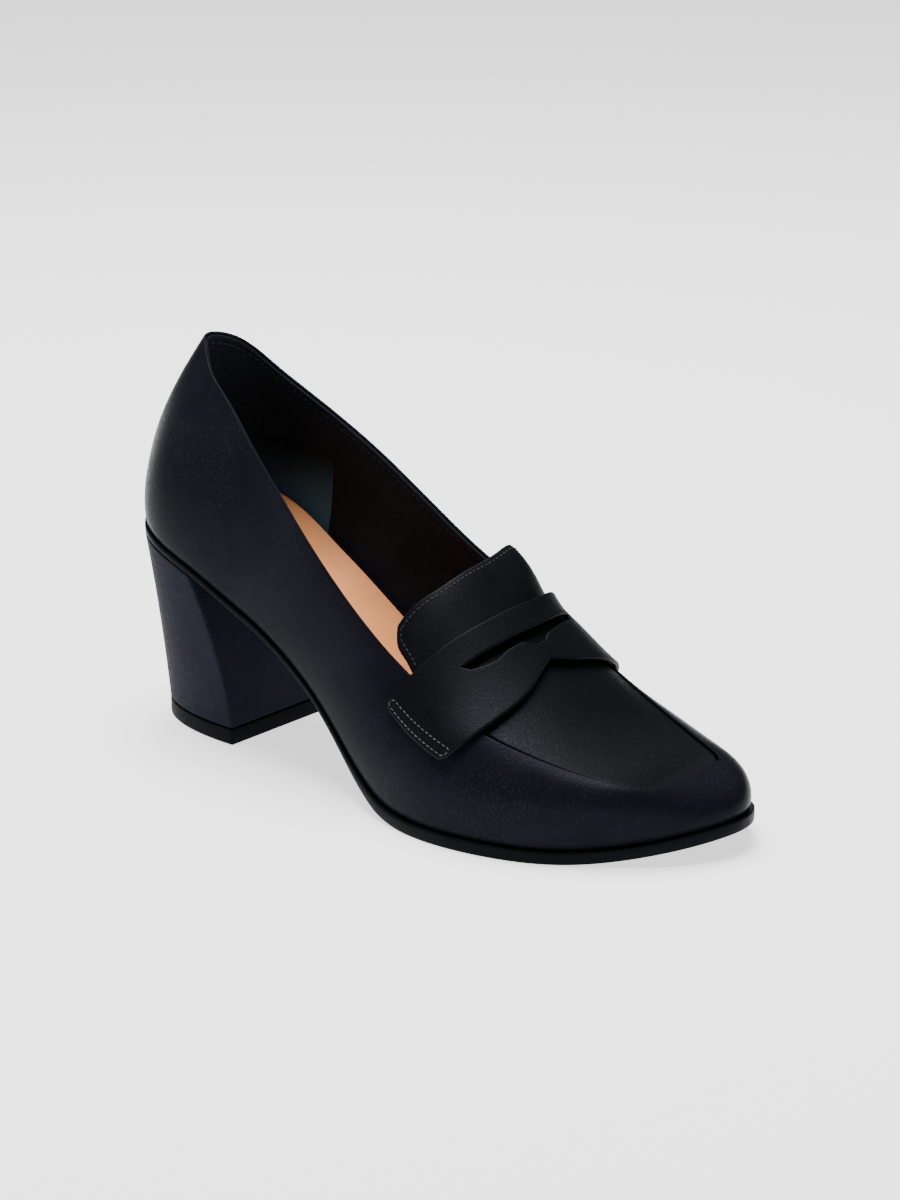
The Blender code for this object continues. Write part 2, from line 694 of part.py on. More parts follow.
def top_piece_loop():
    """D shaped outline of the top piece, from the outer breast corner round the back."""
    turn = np.linspace(-np.pi / 2, np.pi / 2, HEEL_POINTS)
    depth = np.cos(turn).clip(0) ** HEEL_SQUARENESS
    width = np.sign(np.sin(turn)) * np.abs(np.sin(turn)) ** HEEL_SQUARENESS
    x = HEEL_BREAST_X - HEEL_DEPTH * depth + HEEL_BREAST_TURN * (width + 1) / 2
    return np.column_stack([x, HEEL_HALF_WIDTH * width])[::-1]


def seat_loop():
    """Outline of the heel's top under the outsole, in the order of the top piece's outline."""
    clock = np.linspace(HEEL_TOP_CLOCKS[1], HEEL_TOP_CLOCKS[0], HEEL_POINTS)
    plan = feather(clock)[:, :2] + HEEL_TOP_MARGIN * outward(clock)[:, :2]
    return resample(plan, HEEL_POINTS)


def make_heel(finish):
    foot, seat = top_piece_loop(), seat_loop()
    seat_z = rise(seat[:, 0]) - outsole_size(seat[:, 0])[0] - 2 * FIT_GAP
    foot_z = TOP_PIECE_HEIGHT + FIT_GAP
    at_breast = np.abs(np.linspace(-1, 1, HEEL_POINTS))[:, None] ** 6
    hollow = np.hstack([HEEL_SIDE_HOLLOW + (HEEL_BREAST_HOLLOW - HEEL_SIDE_HOLLOW) * at_breast,
                        np.full((HEEL_POINTS, 1), HEEL_SIDE_HOLLOW)])
    loops = []
    for height in np.linspace(0, 1, HEEL_STEPS + 1):
        plan = foot + (seat - foot) * height ** hollow
        loops.append(np.column_stack([plan, foot_z + (seat_z - foot_z) * height]))
    return piece("heel", *lofted(loops), finish)


def make_top_piece(finish):
    loop = top_piece_loop()
    edge = 0.4
    levels = ((-edge, 0.0), (0.0, edge), (0.0, TOP_PIECE_HEIGHT - edge), (-edge, TOP_PIECE_HEIGHT))
    loops = [np.column_stack([moved_out(loop, out), np.full(len(loop), z)]) for out, z in levels]
    return piece("top_piece", *lofted(loops), finish)


def make_upper(finish):
    clocks = []
    for (start, count), (end, _) in zip(WALL_MARKS, WALL_MARKS[1:] + ((1.0, 0),)):
        clocks += list(np.linspace(start, end, count, endpoint=False))
    clocks = np.array(clocks)
    outer = wall(clocks, edge_height(clocks)[:, None] * np.linspace(0, 1, WALL_STEPS + 1))
    inner = outer - WALL_THICKNESS * grid_normals(outer, closed=True)
    inner[:, 0, 2] = rise(inner[:, 0, 0])
    inner[:, -1] -= RIM_SKIVE * unit(outer[:, -1] - outer[:, -2])
    faces = grid_faces(len(clocks), WALL_STEPS + 1, closed=True)
    return piece("upper", *thickened(outer.reshape(-1, 3), inner.reshape(-1, 3), faces), finish)


def make_apron_tongue(finish):
    top = apron_grid(*APRON_STEPS)
    normals = grid_normals(top)
    normals *= np.sign(normals[..., 2:].mean())
    under = top - APRON_THICKNESS * normals
    faces = grid_faces(top.shape[0], top.shape[1])
    return piece("apron_tongue", *thickened(top.reshape(-1, 3), under.reshape(-1, 3), faces), finish)


def make_saddle_strap(finish):
    under, parted = strap_grid(STRAP_COLUMN_GAP, STRAP_ROWS)
    behind = STRAP_ROWS[0]
    normals = np.concatenate([grid_normals(under[:behind + 1]), grid_normals(under[behind + 1:])])
    normals *= np.sign(normals[..., 2:].mean())
    normals[behind + 1] = np.where(parted[:, None], normals[behind + 1], normals[behind])
    top = under + STRAP_THICKNESS * normals
    rows, columns = under.shape[:2]
    number = np.arange(rows * columns).reshape(rows, columns)
    number[behind + 1, ~parted] = number[behind, ~parted]
    faces = []
    for i in [row for row in range(rows - 1) if row != behind]:
        for j in range(columns - 1):
            corners = (number[i, j], number[i + 1, j], number[i + 1, j + 1], number[i, j + 1])
            faces.append(tuple(int(corner) for corner in corners))
    used, inverse = np.unique(np.array(faces), return_inverse=True)
    faces = [tuple(int(index) for index in face) for face in inverse.reshape(-1, 4)]
    solid = thickened(top.reshape(-1, 3)[used], under.reshape(-1, 3)[used], faces)
    return piece("saddle_strap", *solid, finish)


def main():
    for old in list(bpy.data.objects):
        bpy.data.objects.remove(old, do_unlink=True)
    navy_leather = material("navy_leather", (0.010, 0.011, 0.017), 0.45)
    black_leather = material("black_leather", (0.008, 0.008, 0.009), 0.5)
    black_edge = material("black_edge", (0.006, 0.006, 0.006), 0.4)
    rubber = material("top_piece_rubber", (0.010, 0.010, 0.011), 0.6)
    tan_leather = material("tan_leather", (0.51, 0.30, 0.17), 0.6)
    make_outsole(black_edge)
    make_heel(navy_leather)
    make_top_piece(rubber)
    make_insole(tan_leather)
    make_upper(navy_leather)
    make_apron_tongue(black_leather)
    make_saddle_strap(black_leather)


main()
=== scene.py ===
"""Loafer pump, right shoe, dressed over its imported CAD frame.

Shapes are worked out in millimetres in the shoe's own frame: x from heel to toe, y towards the
inner side of the foot, z up from the floor. Places around the shoe are told by a clock: 0 at
the back seam, along the outer side to the toe at about 0.5, and back along the inner side to 1.
"""

import bpy
import numpy as np
from mathutils import Matrix, Vector


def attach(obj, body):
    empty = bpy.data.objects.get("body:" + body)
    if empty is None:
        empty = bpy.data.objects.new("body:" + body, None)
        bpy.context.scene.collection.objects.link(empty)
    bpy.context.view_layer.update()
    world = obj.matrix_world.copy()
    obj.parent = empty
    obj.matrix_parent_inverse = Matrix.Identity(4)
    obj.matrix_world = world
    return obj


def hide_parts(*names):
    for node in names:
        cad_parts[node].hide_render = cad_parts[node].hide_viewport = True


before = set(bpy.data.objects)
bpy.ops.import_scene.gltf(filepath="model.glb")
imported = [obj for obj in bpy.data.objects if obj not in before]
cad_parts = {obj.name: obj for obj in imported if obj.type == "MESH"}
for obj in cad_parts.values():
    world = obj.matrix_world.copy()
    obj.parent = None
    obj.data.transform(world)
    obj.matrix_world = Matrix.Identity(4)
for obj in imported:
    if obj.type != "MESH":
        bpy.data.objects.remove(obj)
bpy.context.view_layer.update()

METRES_PER_MM = 0.001
FLOOR_CENTRE = np.array([113.05, -2.97, 0.0])  # middle of the shoe's box, in its own frame

# Camera, found by matching the photograph's outlines
CAMERA_AZIMUTH = 38.4
CAMERA_ELEVATION = 19.3
CAMERA_DISTANCE = 900.0
CAMERA_TARGET = (117.0, 0.0, 30.8)
TARGET_PIXEL = (440.0, 685.0)
PIXELS_PER_MM = 3.113  # at the target's distance
IMAGE_SIZE = (900, 1200)
SENSOR_MM = 36.0

# Leather
LEATHER = 1.05  # upper leather without its lining
LINING_OUTER, LINING_INNER = 1.15, 1.85  # depths of the lining below the outer face
LINING_DROP = 0.45  # the lining ends this far below the topline
EDGE_ROUND = 0.55
SEAM_GAP = 0.45
SEAM_POINTS = 321
FOOT_TUCK, FOOT_TUCK_HEIGHT = 0.35, 3.0  # the wall's foot is drawn in over the lasted edge
APRON_THICKNESS = 1.6
APRON_STEP = 0.8
STRAP_THICKNESS = 1.5
STRAP_LIFT = 1.35
STRAP_END_LIFT = 0.45
STRAP_SEAM_LIFT = 1.0

# Lining, heel grip and thread
TOPLINE_ROW = 2.9  # stitched groove, below the lining's edge
GROOVE_DEPTH, GROOVE_WIDTH = 0.28, 0.45
PUFF_DEPTH, PUFF_BELOW, PUFF_WIDTH = 0.25, 1.2, 1.1
GRIP_CLOCKS = (-0.100, 0.100)
GRIP_FROM_FOOT, GRIP_FROM_RIM = 3.5, 4.6
# Below these heights the heel grip's colour is painted lighter: painted light near the sock
GRIP_DARK_ABOVE, GRIP_PAINTED_LIGHT_BELOW = 0.090, 0.070  # metres above the floor
TONGUE_ROW = 1.5  # stitches inside the tongue's free edge
THREAD_GAP = 0.5  # between two stitches
THREAD_LIFT = 0.10  # of a stitch above the leather

# Sole and heel
FIT_GAP = 0.3
INSOLE_THICKNESS = 4.0
INSOLE_MARGIN = 2.3
TOP_PIECE_HEIGHT = 5.8
HEEL_BREAST_X = 48.0
HEEL_DEPTH = 45.0
HEEL_HALF_WIDTH = 24.4
HEEL_BREAST_TURN = 3.2
HEEL_SQUARENESS = 0.9
HEEL_TOP_CLOCKS = (0.118, -0.106)
HEEL_SIDE_HOLLOW = 1.05
HEEL_BREAST_HOLLOW = 1.9
HEEL_TOP_MARGIN = 0.7
HEEL_CORNER, TOP_PIECE_CORNER = 1.1, 0.9
HEEL_TALL = 62.0  # roughly, to space its levels

# Lights: name, place, aim, side, power
LIGHTS = (
    ("overhead", (-0.25, 0.12, 1.4), (0.0, 0.0, 0.05), 0.9, 52.0),
    ("left", (-1.3, -0.9, 0.7), (0.0, 0.0, 0.05), 1.2, 2.0),
    ("front_right", (1.2, -1.0, 0.5), (0.05, 0.0, 0.04), 0.9, 1.0),
)

# Feather line, where the upper meets the sole, seen from above: clock, x, y
FEATHER = (
    (0.000, 0.2, 0.0), (0.028, 3.2, -13.4), (0.058, 12.0, -24.2), (0.100, 29.0, -30.4),
    (0.155, 54.0, -30.2), (0.210, 80.0, -30.2), (0.262, 104.0, -34.0), (0.305, 125.5, -40.6),
    (0.345, 146.0, -44.0), (0.380, 164.5, -42.2), (0.410, 180.0, -37.4), (0.437, 194.0, -29.8),
    (0.462, 206.5, -20.4), (0.485, 217.5, -9.4), (0.510, 225.0, 3.4), (0.532, 225.8, 13.6),
    (0.552, 220.6, 22.8), (0.578, 209.0, 30.6), (0.610, 193.0, 36.0), (0.645, 175.0, 37.8),
    (0.685, 155.0, 37.0), (0.735, 130.0, 32.0), (0.790, 102.0, 25.2), (0.845, 74.0, 23.2),
    (0.900, 48.0, 26.4), (0.942, 27.0, 28.0), (0.972, 10.5, 21.6),
)

# Height of the feather line along the shoe: x, z
RISE = (
    (-4.0, 72.5), (8.0, 71.0), (22.0, 67.0), (38.0, 61.3), (55.0, 52.8), (67.0, 46.6),
    (79.0, 38.9), (90.0, 30.6), (100.0, 22.0), (108.0, 15.2), (116.0, 9.9), (124.0, 6.3),
    (132.0, 4.8), (140.0, 4.4), (150.0, 4.3), (165.0, 4.3), (180.0, 4.3), (194.0, 4.9),
    (208.0, 7.0), (230.0, 12.4),
)

# Outsole along the shoe: x, thickness, how far its edge stands outside the feather line
OUTSOLE = (
    (-4.0, 2.8, 0.9), (10.0, 2.4, 0.7), (25.0, 2.1, 0.6), (90.0, 2.1, 0.6), (108.0, 2.6, 0.9),
    (124.0, 3.6, 1.3), (136.0, 4.0, 1.4), (160.0, 4.0, 1.4), (230.0, 4.0, 1.4),
)
FOREPART_THICKNESS = 4.0

# Outsole's edge from the underside up: inset, 1 below or 0 on top, drop
OUTSOLE_PROFILE = (
    (3.0, 1, 0), (0.5, 1, 0), (0.2, 1, -0.06), (0.06, 1, -0.18), (0, 1, -0.4), (0, 0, 0.6),
    (0.05, 0, 0.3), (0.18, 0, 0.1), (0.4, 0, 0.02), (0.7, 0, 0), (3.0, 0, 0),
)

# Sock from its underside to its middle: inset, height above its thickness
INSOLE_PROFILE = (
    (0.0, -INSOLE_THICKNESS), (0.0, 2.3), (0.15, 2.6), (0.5, 2.55), (1.2, 2.1), (2.4, 1.4),
    (4.0, 0.7), (6.0, 0.2), (8.5, 0.0),
)

# Upper edge of the wall: clock, x, y, z, and half the clock width of a round corner or 0
RIM = (
    (0.000, 19.6, 0.0, 132.4, 0), (0.026, 23.3, -5.8, 129.7, 0), (0.050, 30.4, -11.6, 124.5, 0),
    (0.085, 44.0, -18.6, 117.8, 0), (0.125, 58.0, -24.4, 107.8, 0), (0.170, 75.0, -28.4, 92.8, 0),
    (0.225, 96.0, -30.4, 72.2, 0), (0.265, 114.0, -31.0, 57.2, 0), (0.300, 130.0, -30.2, 45.4, 0.020),
    (0.365, 158.0, -32.8, 35.8, 0), (0.405, 175.0, -29.8, 31.0, 0), (0.438, 192.0, -23.6, 26.8, 0),
    (0.472, 209.5, -14.6, 24.4, 0.030), (0.500, 211.8, 2.0, 24.0, 0),
    (0.534, 210.8, 18.8, 25.0, 0.025), (0.575, 195.0, 25.6, 27.4, 0), (0.620, 177.0, 29.8, 32.6, 0),
    (0.665, 160.0, 31.2, 40.4, 0), (0.700, 145.0, 30.4, 50.0, 0), (0.735, 130.0, 29.4, 59.6, 0.020),
    (0.770, 114.0, 28.4, 67.2, 0), (0.820, 90.0, 27.2, 82.6, 0), (0.870, 66.0, 25.6, 98.3, 0),
    (0.910, 46.0, 22.6, 110.4, 0), (0.945, 31.8, 18.4, 120.2, 0), (0.974, 23.2, 10.6, 129.3, 0),
)
THROAT_OUTER, THROAT_INNER = 0.300, 0.735
APRON_CORNER_OUTER, APRON_CORNER_INNER = 0.472, 0.534
APRON_CORNERS = ((APRON_CORNER_OUTER, 0.030, 0.17), (APRON_CORNER_INNER, 0.025, 0.14))
CORNER_ROUND = 0.0035

# Swell of the wall: clock, then lean in degrees and pull, at the foot and at the rim
WALL = (
    (0.000, 80, 0.32, 54, 0.38), (0.050, 80, 0.32, 54, 0.40), (0.110, 80, 0.34, 70, 0.36),
    (0.180, 80, 0.34, 80, 0.32), (0.260, 80, 0.36, 76, 0.32), (0.345, 84, 0.42, 44, 0.38),
    (0.410, 84, 0.44, 30, 0.42), (0.440, 82, 0.44, 20, 0.43), (0.472, 80, 0.45, 12, 0.43),
    (0.503, 76, 0.44, 15, 0.42), (0.534, 80, 0.45, 12, 0.43), (0.565, 82, 0.44, 20, 0.42),
    (0.610, 84, 0.44, 28, 0.43), (0.685, 84, 0.42, 54, 0.38), (0.770, 74, 0.36, 76, 0.32),
    (0.860, 72, 0.34, 80, 0.32), (0.950, 78, 0.32, 60, 0.38),
)

# Creases of the wall: clock, share of height, width, direction, length, depth. A clock of 1 is
# taken as the girth and a height of 1 as the wall's height
CREASES = (
    (0.262, 0.66, 5.0, (0.35, 1.0), 12.0, -0.10),
    (0.165, 0.40, 7.0, (0.10, 1.0), 26.0, -0.16),
    (0.835, 0.45, 7.0, (-0.1, 1.0), 26.0, -0.16),
)
GIRTH, WALL_TALL = 480.0, 45.0

# Where the meshes of upper and lining are closer: clock, half width, steps
CLOSE_CLOCKS = ((0.472, 0.012, 26), (0.534, 0.009, 22), (0.300, 0.006, 14), (0.735, 0.006, 14))

# Rows of the two meshes near their edge, in mm below it
UPPER_MARKS = (0.0, 0.03, 0.09, 0.18, 0.32, 0.50, 0.75, 1.1)
LINING_MARKS = (0.0, 0.04, 0.12, 0.26, 0.5, 0.9, 1.4, 1.9, 2.2, 2.45, 2.7, 2.95, 3.2, 3.5, 3.9, 4.4)

# Crown of apron and tongue above its two side lines: x, height, fullness on either side
CROWN = (
    (112.0, 19.0, 3.0, 6.0), (122.0, 19.0, 3.0, 6.0), (130.0, 18.4, 2.9, 7.0),
    (136.0, 16.6, 2.85, 6.0), (141.0, 14.7, 2.8, 3.2), (150.0, 11.8, 2.6, 2.6),
    (160.0, 9.2, 2.4, 2.4), (172.0, 6.2, 2.2, 2.2), (186.0, 3.2, 2.1, 2.1),
    (200.0, 0.9, 2.0, 2.0), (211.0, -0.7, 2.0, 2.0), (220.0, -0.9, 2.0, 2.0),
)
CROWN_SKEW = 0.11
TONGUE_SIDES = (
    (124.0, -28.6, 49.6, 27.6, 62.4),
    (112.0, -27.2, 57.8, 26.8, 68.8),
)
TONGUE_EDGE_OUTER = ((125.0, -28.2), (121.2, -26.9))
TONGUE_EDGE_TIP = (
    (119.6, -24.6), (121.3, -20.6), (125.8, -12.2), (128.1, 0.0), (129.2, 13.0), (128.2, 25.0),
)
TONGUE_EDGE_INNER = ((130.0, 28.6), (129.2, 27.4))

# Strap: share across the apron from -1 to 1, x of its back, x of its front
STRAP_EDGES = (
    (-1.00, 129.9, 159.8), (-0.75, 135.8, 161.8), (-0.50, 138.9, 162.9), (-0.20, 141.4, 163.4),
    (0.13, 142.7, 163.8), (0.60, 142.5, 163.9), (1.00, 138.9, 163.6),
)

# Strap's two ends, at its back and its front: clocks at the seam, clocks and heights at the end
STRAP_OUTER_END = ((0.3015, 0.3685), (0.2935, 0.3525), (0.705, 0.605))
STRAP_INNER_END = ((0.7150, 0.6570), (0.724, 0.673), (0.72, 0.62))

# Shares across and along the strap: its end, the round of its corners, its front edge, its slot
STRAP_END = 1.46
STRAP_END_ROUND = 0.10
STRAP_CORNER = 0.09
STRAP_FRONT_OUTER = (
    (-1.46, 1.0), (-0.8, 1.0), (-0.55, 0.99), (-0.32, 0.938), (-0.10, 0.834), (0.06, 0.764),
)
STRAP_FRONT_INNER = ((0.06, 0.764), (0.37, 0.924), (0.75, 0.985), (1.0, 1.0), (1.46, 1.0))
SLOT = (
    (-0.71, 0.305, 0.305), (-0.67, 0.303, 0.377), (-0.57, 0.300, 0.422), (-0.43, 0.303, 0.450),
    (-0.27, 0.315, 0.417), (-0.06, 0.315, 0.422), (0.03, 0.316, 0.521), (0.17, 0.321, 0.527),
    (0.26, 0.325, 0.462), (0.43, 0.327, 0.436), (0.62, 0.315, 0.400), (0.76, 0.302, 0.387),
    (0.80, 0.305, 0.305),
)


def spline(knots, rows, at, closed=False):
    """Smooth curve through the rows at the knots, a cubic whose bend is even at every knot."""
    t = np.asarray(knots, float)
    p = np.asarray(rows, float)
    at = np.asarray(at, float)
    if closed:
        t = np.append(t, t[0] + 1.0)
        p = np.vstack([p, p[:1]])
        at = np.mod(at - t[0], 1.0) + t[0]
    last = len(t) - 1
    h = np.diff(t)
    slope = np.diff(p, axis=0) / h[:, None]
    left = np.zeros((last + 1, last + 1))
    right = np.zeros((last + 1, p.shape[1]))
    for i in range(1, last):
        left[i, i - 1:i + 2] = h[i - 1], 2 * (h[i - 1] + h[i]), h[i]
        right[i] = 6 * (slope[i] - slope[i - 1])
    if closed:
        left[0, 0], left[0, last] = 1, -1
        left[last, [0, 1, last - 1, last]] = 2 * h[0], h[0], h[-1], 2 * h[-1]
        right[last] = 6 * (slope[0] - slope[-1])
    else:
        left[0, 0] = left[last, last] = 1
    bend = np.linalg.solve(left, right)
    k = np.clip(np.searchsorted(t, at, side="right") - 1, 0, last - 1)
    width = h[k][..., None]
    past = (at - t[k])[..., None]
    ahead = width - past
    cubic = (bend[k] * ahead ** 3 + bend[k + 1] * past ** 3) / (6 * width)
    return (cubic + (p[k] / width - bend[k] * width / 6) * ahead
            + (p[k + 1] / width - bend[k + 1] * width / 6) * past)


def table_spline(table, at, closed=False):
    """Spline through a table whose first column holds the knots."""
    rows = np.array(table, float)
    return spline(rows[:, 0], rows[:, 1:], at, closed)


def unit(vectors):
    return vectors / np.linalg.norm(vectors, axis=-1, keepdims=True)


def smoothstep(low, high, value):
    share = np.clip((value - low) / (high - low), 0, 1)
    return share * share * (3 - 2 * share)


def rise(x):
    return np.maximum(table_spline(RISE, x)[..., 0], FOREPART_THICKNESS + FIT_GAP)


def outsole_size(x):
    """Thickness of the outsole at x, and how far its edge stands outside the feather line."""
    stations, thickness, margin = np.transpose(OUTSOLE)
    return np.interp(x, stations, thickness), np.interp(x, stations, margin)


def feather(clock):
    plan = table_spline(FEATHER, clock, closed=True)
    return np.concatenate([plan, rise(plan[..., 0])[..., None]], axis=-1)


def outward(clock):
    """Level direction out of the shoe at the feather line."""
    step = 1e-4
    along = feather(clock + step) - feather(clock - step)
    return unit(np.stack([along[..., 1], -along[..., 0], np.zeros(along.shape[:-1])], axis=-1))


def rim_with_corners(clock):
    """Rim as smooth curves from corner to corner, its corners still sharp."""
    clock = np.mod(np.asarray(clock, float), 1.0)
    rows = np.array(RIM, float)
    count = len(rows)
    turns = np.flatnonzero(rows[:, 4])
    points = np.zeros(clock.shape + (3,))
    for first, end in zip(turns, np.append(turns[1:], turns[0] + count)):
        order = np.arange(first, end + 1)
        knots = rows[order % count, 0] + order // count
        for lap in (0.0, 1.0):
            inside = (clock + lap >= knots[0]) & (clock + lap <= knots[-1])
            points[inside] = spline(knots, rows[order % count, 1:4], clock[inside] + lap)
    return points


def rim(clock):
    clock = np.mod(np.asarray(clock, float), 1.0)
    points = rim_with_corners(clock)
    for corner, _, _, _, turn in RIM:
        if turn:
            near = np.abs(clock - corner) < turn
            share = ((clock[near] - corner) / turn / 2 + 0.5)[:, None]
            start, apex, end = rim_with_corners([corner - turn, corner, corner + turn])
            points[near] = (1 - share) ** 2 * start + 2 * share * (1 - share) * apex + share ** 2 * end
    return points


def wall(clock, height):
    """Outer face of the upper: one row for each clock, one column for each share of height."""
    foot, edge, out = feather(clock), rim(clock), outward(clock)
    swell = table_spline(WALL, clock, closed=True)
    tall = np.linalg.norm(edge - foot, axis=-1)[:, None]
    foot_lean, rim_lean = np.radians(swell[:, 0:1]), np.radians(swell[:, 2:3])
    up = np.array([0.0, 0.0, 1.0])
    low = foot + swell[:, 1:2] * tall * (np.cos(foot_lean) * out + np.sin(foot_lean) * up)
    high = edge + swell[:, 3:4] * tall * (np.cos(rim_lean) * out - np.sin(rim_lean) * up)
    v = np.atleast_2d(height)[..., None]
    foot, low, high, edge = (points[:, None, :] for points in (foot, low, high, edge))
    return (1 - v) ** 3 * foot + 3 * v * (1 - v) ** 2 * low + 3 * v * v * (1 - v) * high + v ** 3 * edge


def grid_normals(grid, closed=False):
    if closed:
        along = np.roll(grid, -1, axis=0) - np.roll(grid, 1, axis=0)
    else:
        along = np.gradient(grid, axis=0)
    across = np.gradient(grid, axis=1)
    return unit(np.cross(along, across))


def edge_height(clock):
    """Share of the wall's height at which the leather is cut: 1, but less at the apron's corners."""
    height = np.ones(np.shape(clock))
    for corner, half_width, depth in APRON_CORNERS:
        away = np.sqrt((clock - corner) ** 2 + CORNER_ROUND ** 2) - CORNER_ROUND
        height -= depth * np.clip(1 - away / half_width, 0, 1) ** 2
    return height


def cut_edge(clock):
    """The leather's upper edge."""
    return wall(clock, edge_height(clock)[:, None])[:, 0]


def edge_frame(clock):
    """Edge point, direction up the wall and direction out of the leather, for each clock."""
    height = edge_height(clock)
    strip = wall(clock, np.stack([height - 0.015, height], axis=-1))
    up = unit(strip[:, 1] - strip[:, 0])
    step = 1e-4
    along = unit(cut_edge(clock + step) - cut_edge(clock - step))
    out = unit(np.cross(along, up))
    return strip[:, 1], unit(np.cross(out, along)), out


def apron_line(clock):
    point, up, out = edge_frame(clock)
    return point + SEAM_GAP * up - APRON_STEP * out


def side_table():
    """x, then y and z of the apron's outer border and y and z of its inner border.

    The bend where the seam ends and the free tongue begins is softened.
    """
    sides = np.array(TONGUE_SIDES, float)
    x = np.arange(112.0, 214.0, 0.5)
    columns = [x]
    reach = 12
    weights = np.exp(-(np.arange(-reach, reach + 1) / 6.0) ** 2)
    behind = np.clip((146.0 - x) / 8.0, 0, 1)
    for corner, throat, side in (
            (APRON_CORNER_OUTER, THROAT_OUTER, (0, 1, 2)),
            (APRON_CORNER_INNER, THROAT_INNER, (0, 3, 4))):
        line = np.vstack([apron_line(np.linspace(corner, throat, 121)), sides[:, side]])
        line = line[np.argsort(line[:, 0])]
        for column in (1, 2):
            exact = np.interp(x, line[:, 0], line[:, column])
            ends = np.pad(exact, reach, mode="reflect", reflect_type="odd")
            soft = np.convolve(ends, weights / weights.sum(), mode="valid")
            columns.append(exact + (soft - exact) * behind)
    return np.array(columns)


SIDE_TABLE = side_table()


def side_lines(x):
    """y and z of the apron's outer border, then of its inner border, at x."""
    return [np.interp(x, SIDE_TABLE[0], column) for column in SIDE_TABLE[1:]]


def crown(x, y):
    outer_y, outer_z, inner_y, inner_z = side_lines(x)
    height, outer_fullness, inner_fullness = np.moveaxis(table_spline(CROWN, x), -1, 0)
    share = np.clip((2 * y - outer_y - inner_y) / (inner_y - outer_y), -1, 1)
    leaning = share - CROWN_SKEW * (1 - share ** 2)
    fullness = np.where(leaning < 0, outer_fullness, inner_fullness)
    return (outer_z + (inner_z - outer_z) * (share + 1) / 2
            + height * (1 - np.abs(leaning) ** fullness))


def lengths_along(line):
    return np.append(0, np.cumsum(np.linalg.norm(np.diff(line, axis=0), axis=1)))


def read_along(lengths, rows, at):
    return np.stack([np.interp(at, lengths, column) for column in rows.T], axis=-1)


def resample(line, count=None, shares=None):
    """A line with its points at given shares of its length, or evenly spaced."""
    lengths = lengths_along(line)
    shares = np.linspace(0, 1, count) if shares is None else shares
    return read_along(lengths, line, shares * lengths[-1])


def smooth_line(points, count):
    lengths = lengths_along(points)
    return spline(lengths, points, np.linspace(0, lengths[-1], count))


def coons(front, back, outer, inner, u, v):
    """Grid that fills the space between four lines."""
    v = v[:, None, None]
    u = u[None, :, None]
    ruled = (1 - v) * front[None] + v * back[None] + (1 - u) * outer[:, None] + u * inner[:, None]
    corners = ((1 - v) * ((1 - u) * front[0] + u * front[-1]) + v * ((1 - u) * back[0] + u * back[-1]))
    return ruled - corners


def edged_shares(length, count, marks=(0.0, 0.04, 0.12, 0.26, 0.45, 0.8)):
    """Shares along a length in mm, evenly spaced, with a few close to either end."""
    near = np.array(marks) / length
    middle = np.linspace(near[-1], 1 - near[-1], count)[1:-1]
    return np.concatenate([near, middle, 1 - near[::-1]])


def apron_border():
    """Outer, front, inner and tip lines of apron and tongue from above."""
    outer_seam, inner_seam, front = (
        apron_line(np.linspace(start, end, SEAM_POINTS))[:, :2]
        for start, end in ((APRON_CORNER_OUTER, THROAT_OUTER), (APRON_CORNER_INNER, THROAT_INNER),
                           (APRON_CORNER_OUTER, APRON_CORNER_INNER)))
    tip = smooth_line(TONGUE_EDGE_TIP, 121)
    free_outer = smooth_line([outer_seam[-1], *TONGUE_EDGE_OUTER, tip[0]], 31)
    free_inner = smooth_line([inner_seam[-1], *TONGUE_EDGE_INNER, tip[-1]], 31)
    return np.vstack([outer_seam, free_outer[1:]]), front, np.vstack([inner_seam, free_inner[1:]]), tip


def apron_grid():
    outer, front, inner, tip = apron_border()
    u, v = edged_shares(52.0, 80), edged_shares(92.0, 130)
    plan = coons(resample(front, shares=u), resample(tip, shares=u),
                 resample(outer, shares=v), resample(inner, shares=v), u, v)
    return np.concatenate([plan, crown(plan[..., 0], plan[..., 1])[..., None]], axis=-1)


def crown_frame(x, y, step=0.2):
    """Points of the crown and the directions out of it."""
    z = crown(x, y)
    slope_x = (crown(x + step, y) - z) / step
    slope_y = (crown(x, y + step) - crown(x, y - step)) / (2 * step)
    return np.stack([x, y, z], axis=-1), unit(np.stack([-slope_x, -slope_y, np.ones_like(z)], axis=-1))


def lifted_crown(x, y, lift):
    points, normals = crown_frame(x, y)
    return points + lift * normals


def strap_end_guides(along, end):
    """Two points of a strap's end, the outermost first."""
    seam_clock, end_clock, end_height = (np.interp(along, (0, 1), pair) for pair in end)
    points = []
    for share, lift in ((0.0, STRAP_END_LIFT), (0.5, STRAP_SEAM_LIFT)):
        clock = end_clock + share * (seam_clock - end_clock)
        height = end_height + share * (1 - end_height)
        near = wall(np.array([clock - 2e-3, clock, clock + 2e-3]), (height - 0.02, height))
        normal = unit(np.cross(near[2, 1] - near[0, 1], near[1, 1] - near[1, 0]))
        points.append(near[1, 1] + lift * normal)
    return points


def strap_section(along, across):
    """Line across the strap's underside at a share from back to front."""
    shares = np.array((-0.86, -0.55, -0.20, 0.20, 0.55, 0.86))
    edges = table_spline(STRAP_EDGES, shares)
    x = edges[:, 0] + along * (edges[:, 1] - edges[:, 0])
    outer_y, _, inner_y, _ = side_lines(x)
    y = (outer_y + inner_y) / 2 + shares * (inner_y - outer_y) / 2
    top = lifted_crown(x, y, STRAP_LIFT)
    outer = strap_end_guides(along, STRAP_OUTER_END)
    inner = strap_end_guides(along, STRAP_INNER_END)
    half_way = (STRAP_END + 1) / 2
    knots = np.concatenate([(-STRAP_END, -half_way), shares, (half_way, STRAP_END)])
    return spline(knots, np.vstack([outer, top, inner[::-1]]), across)


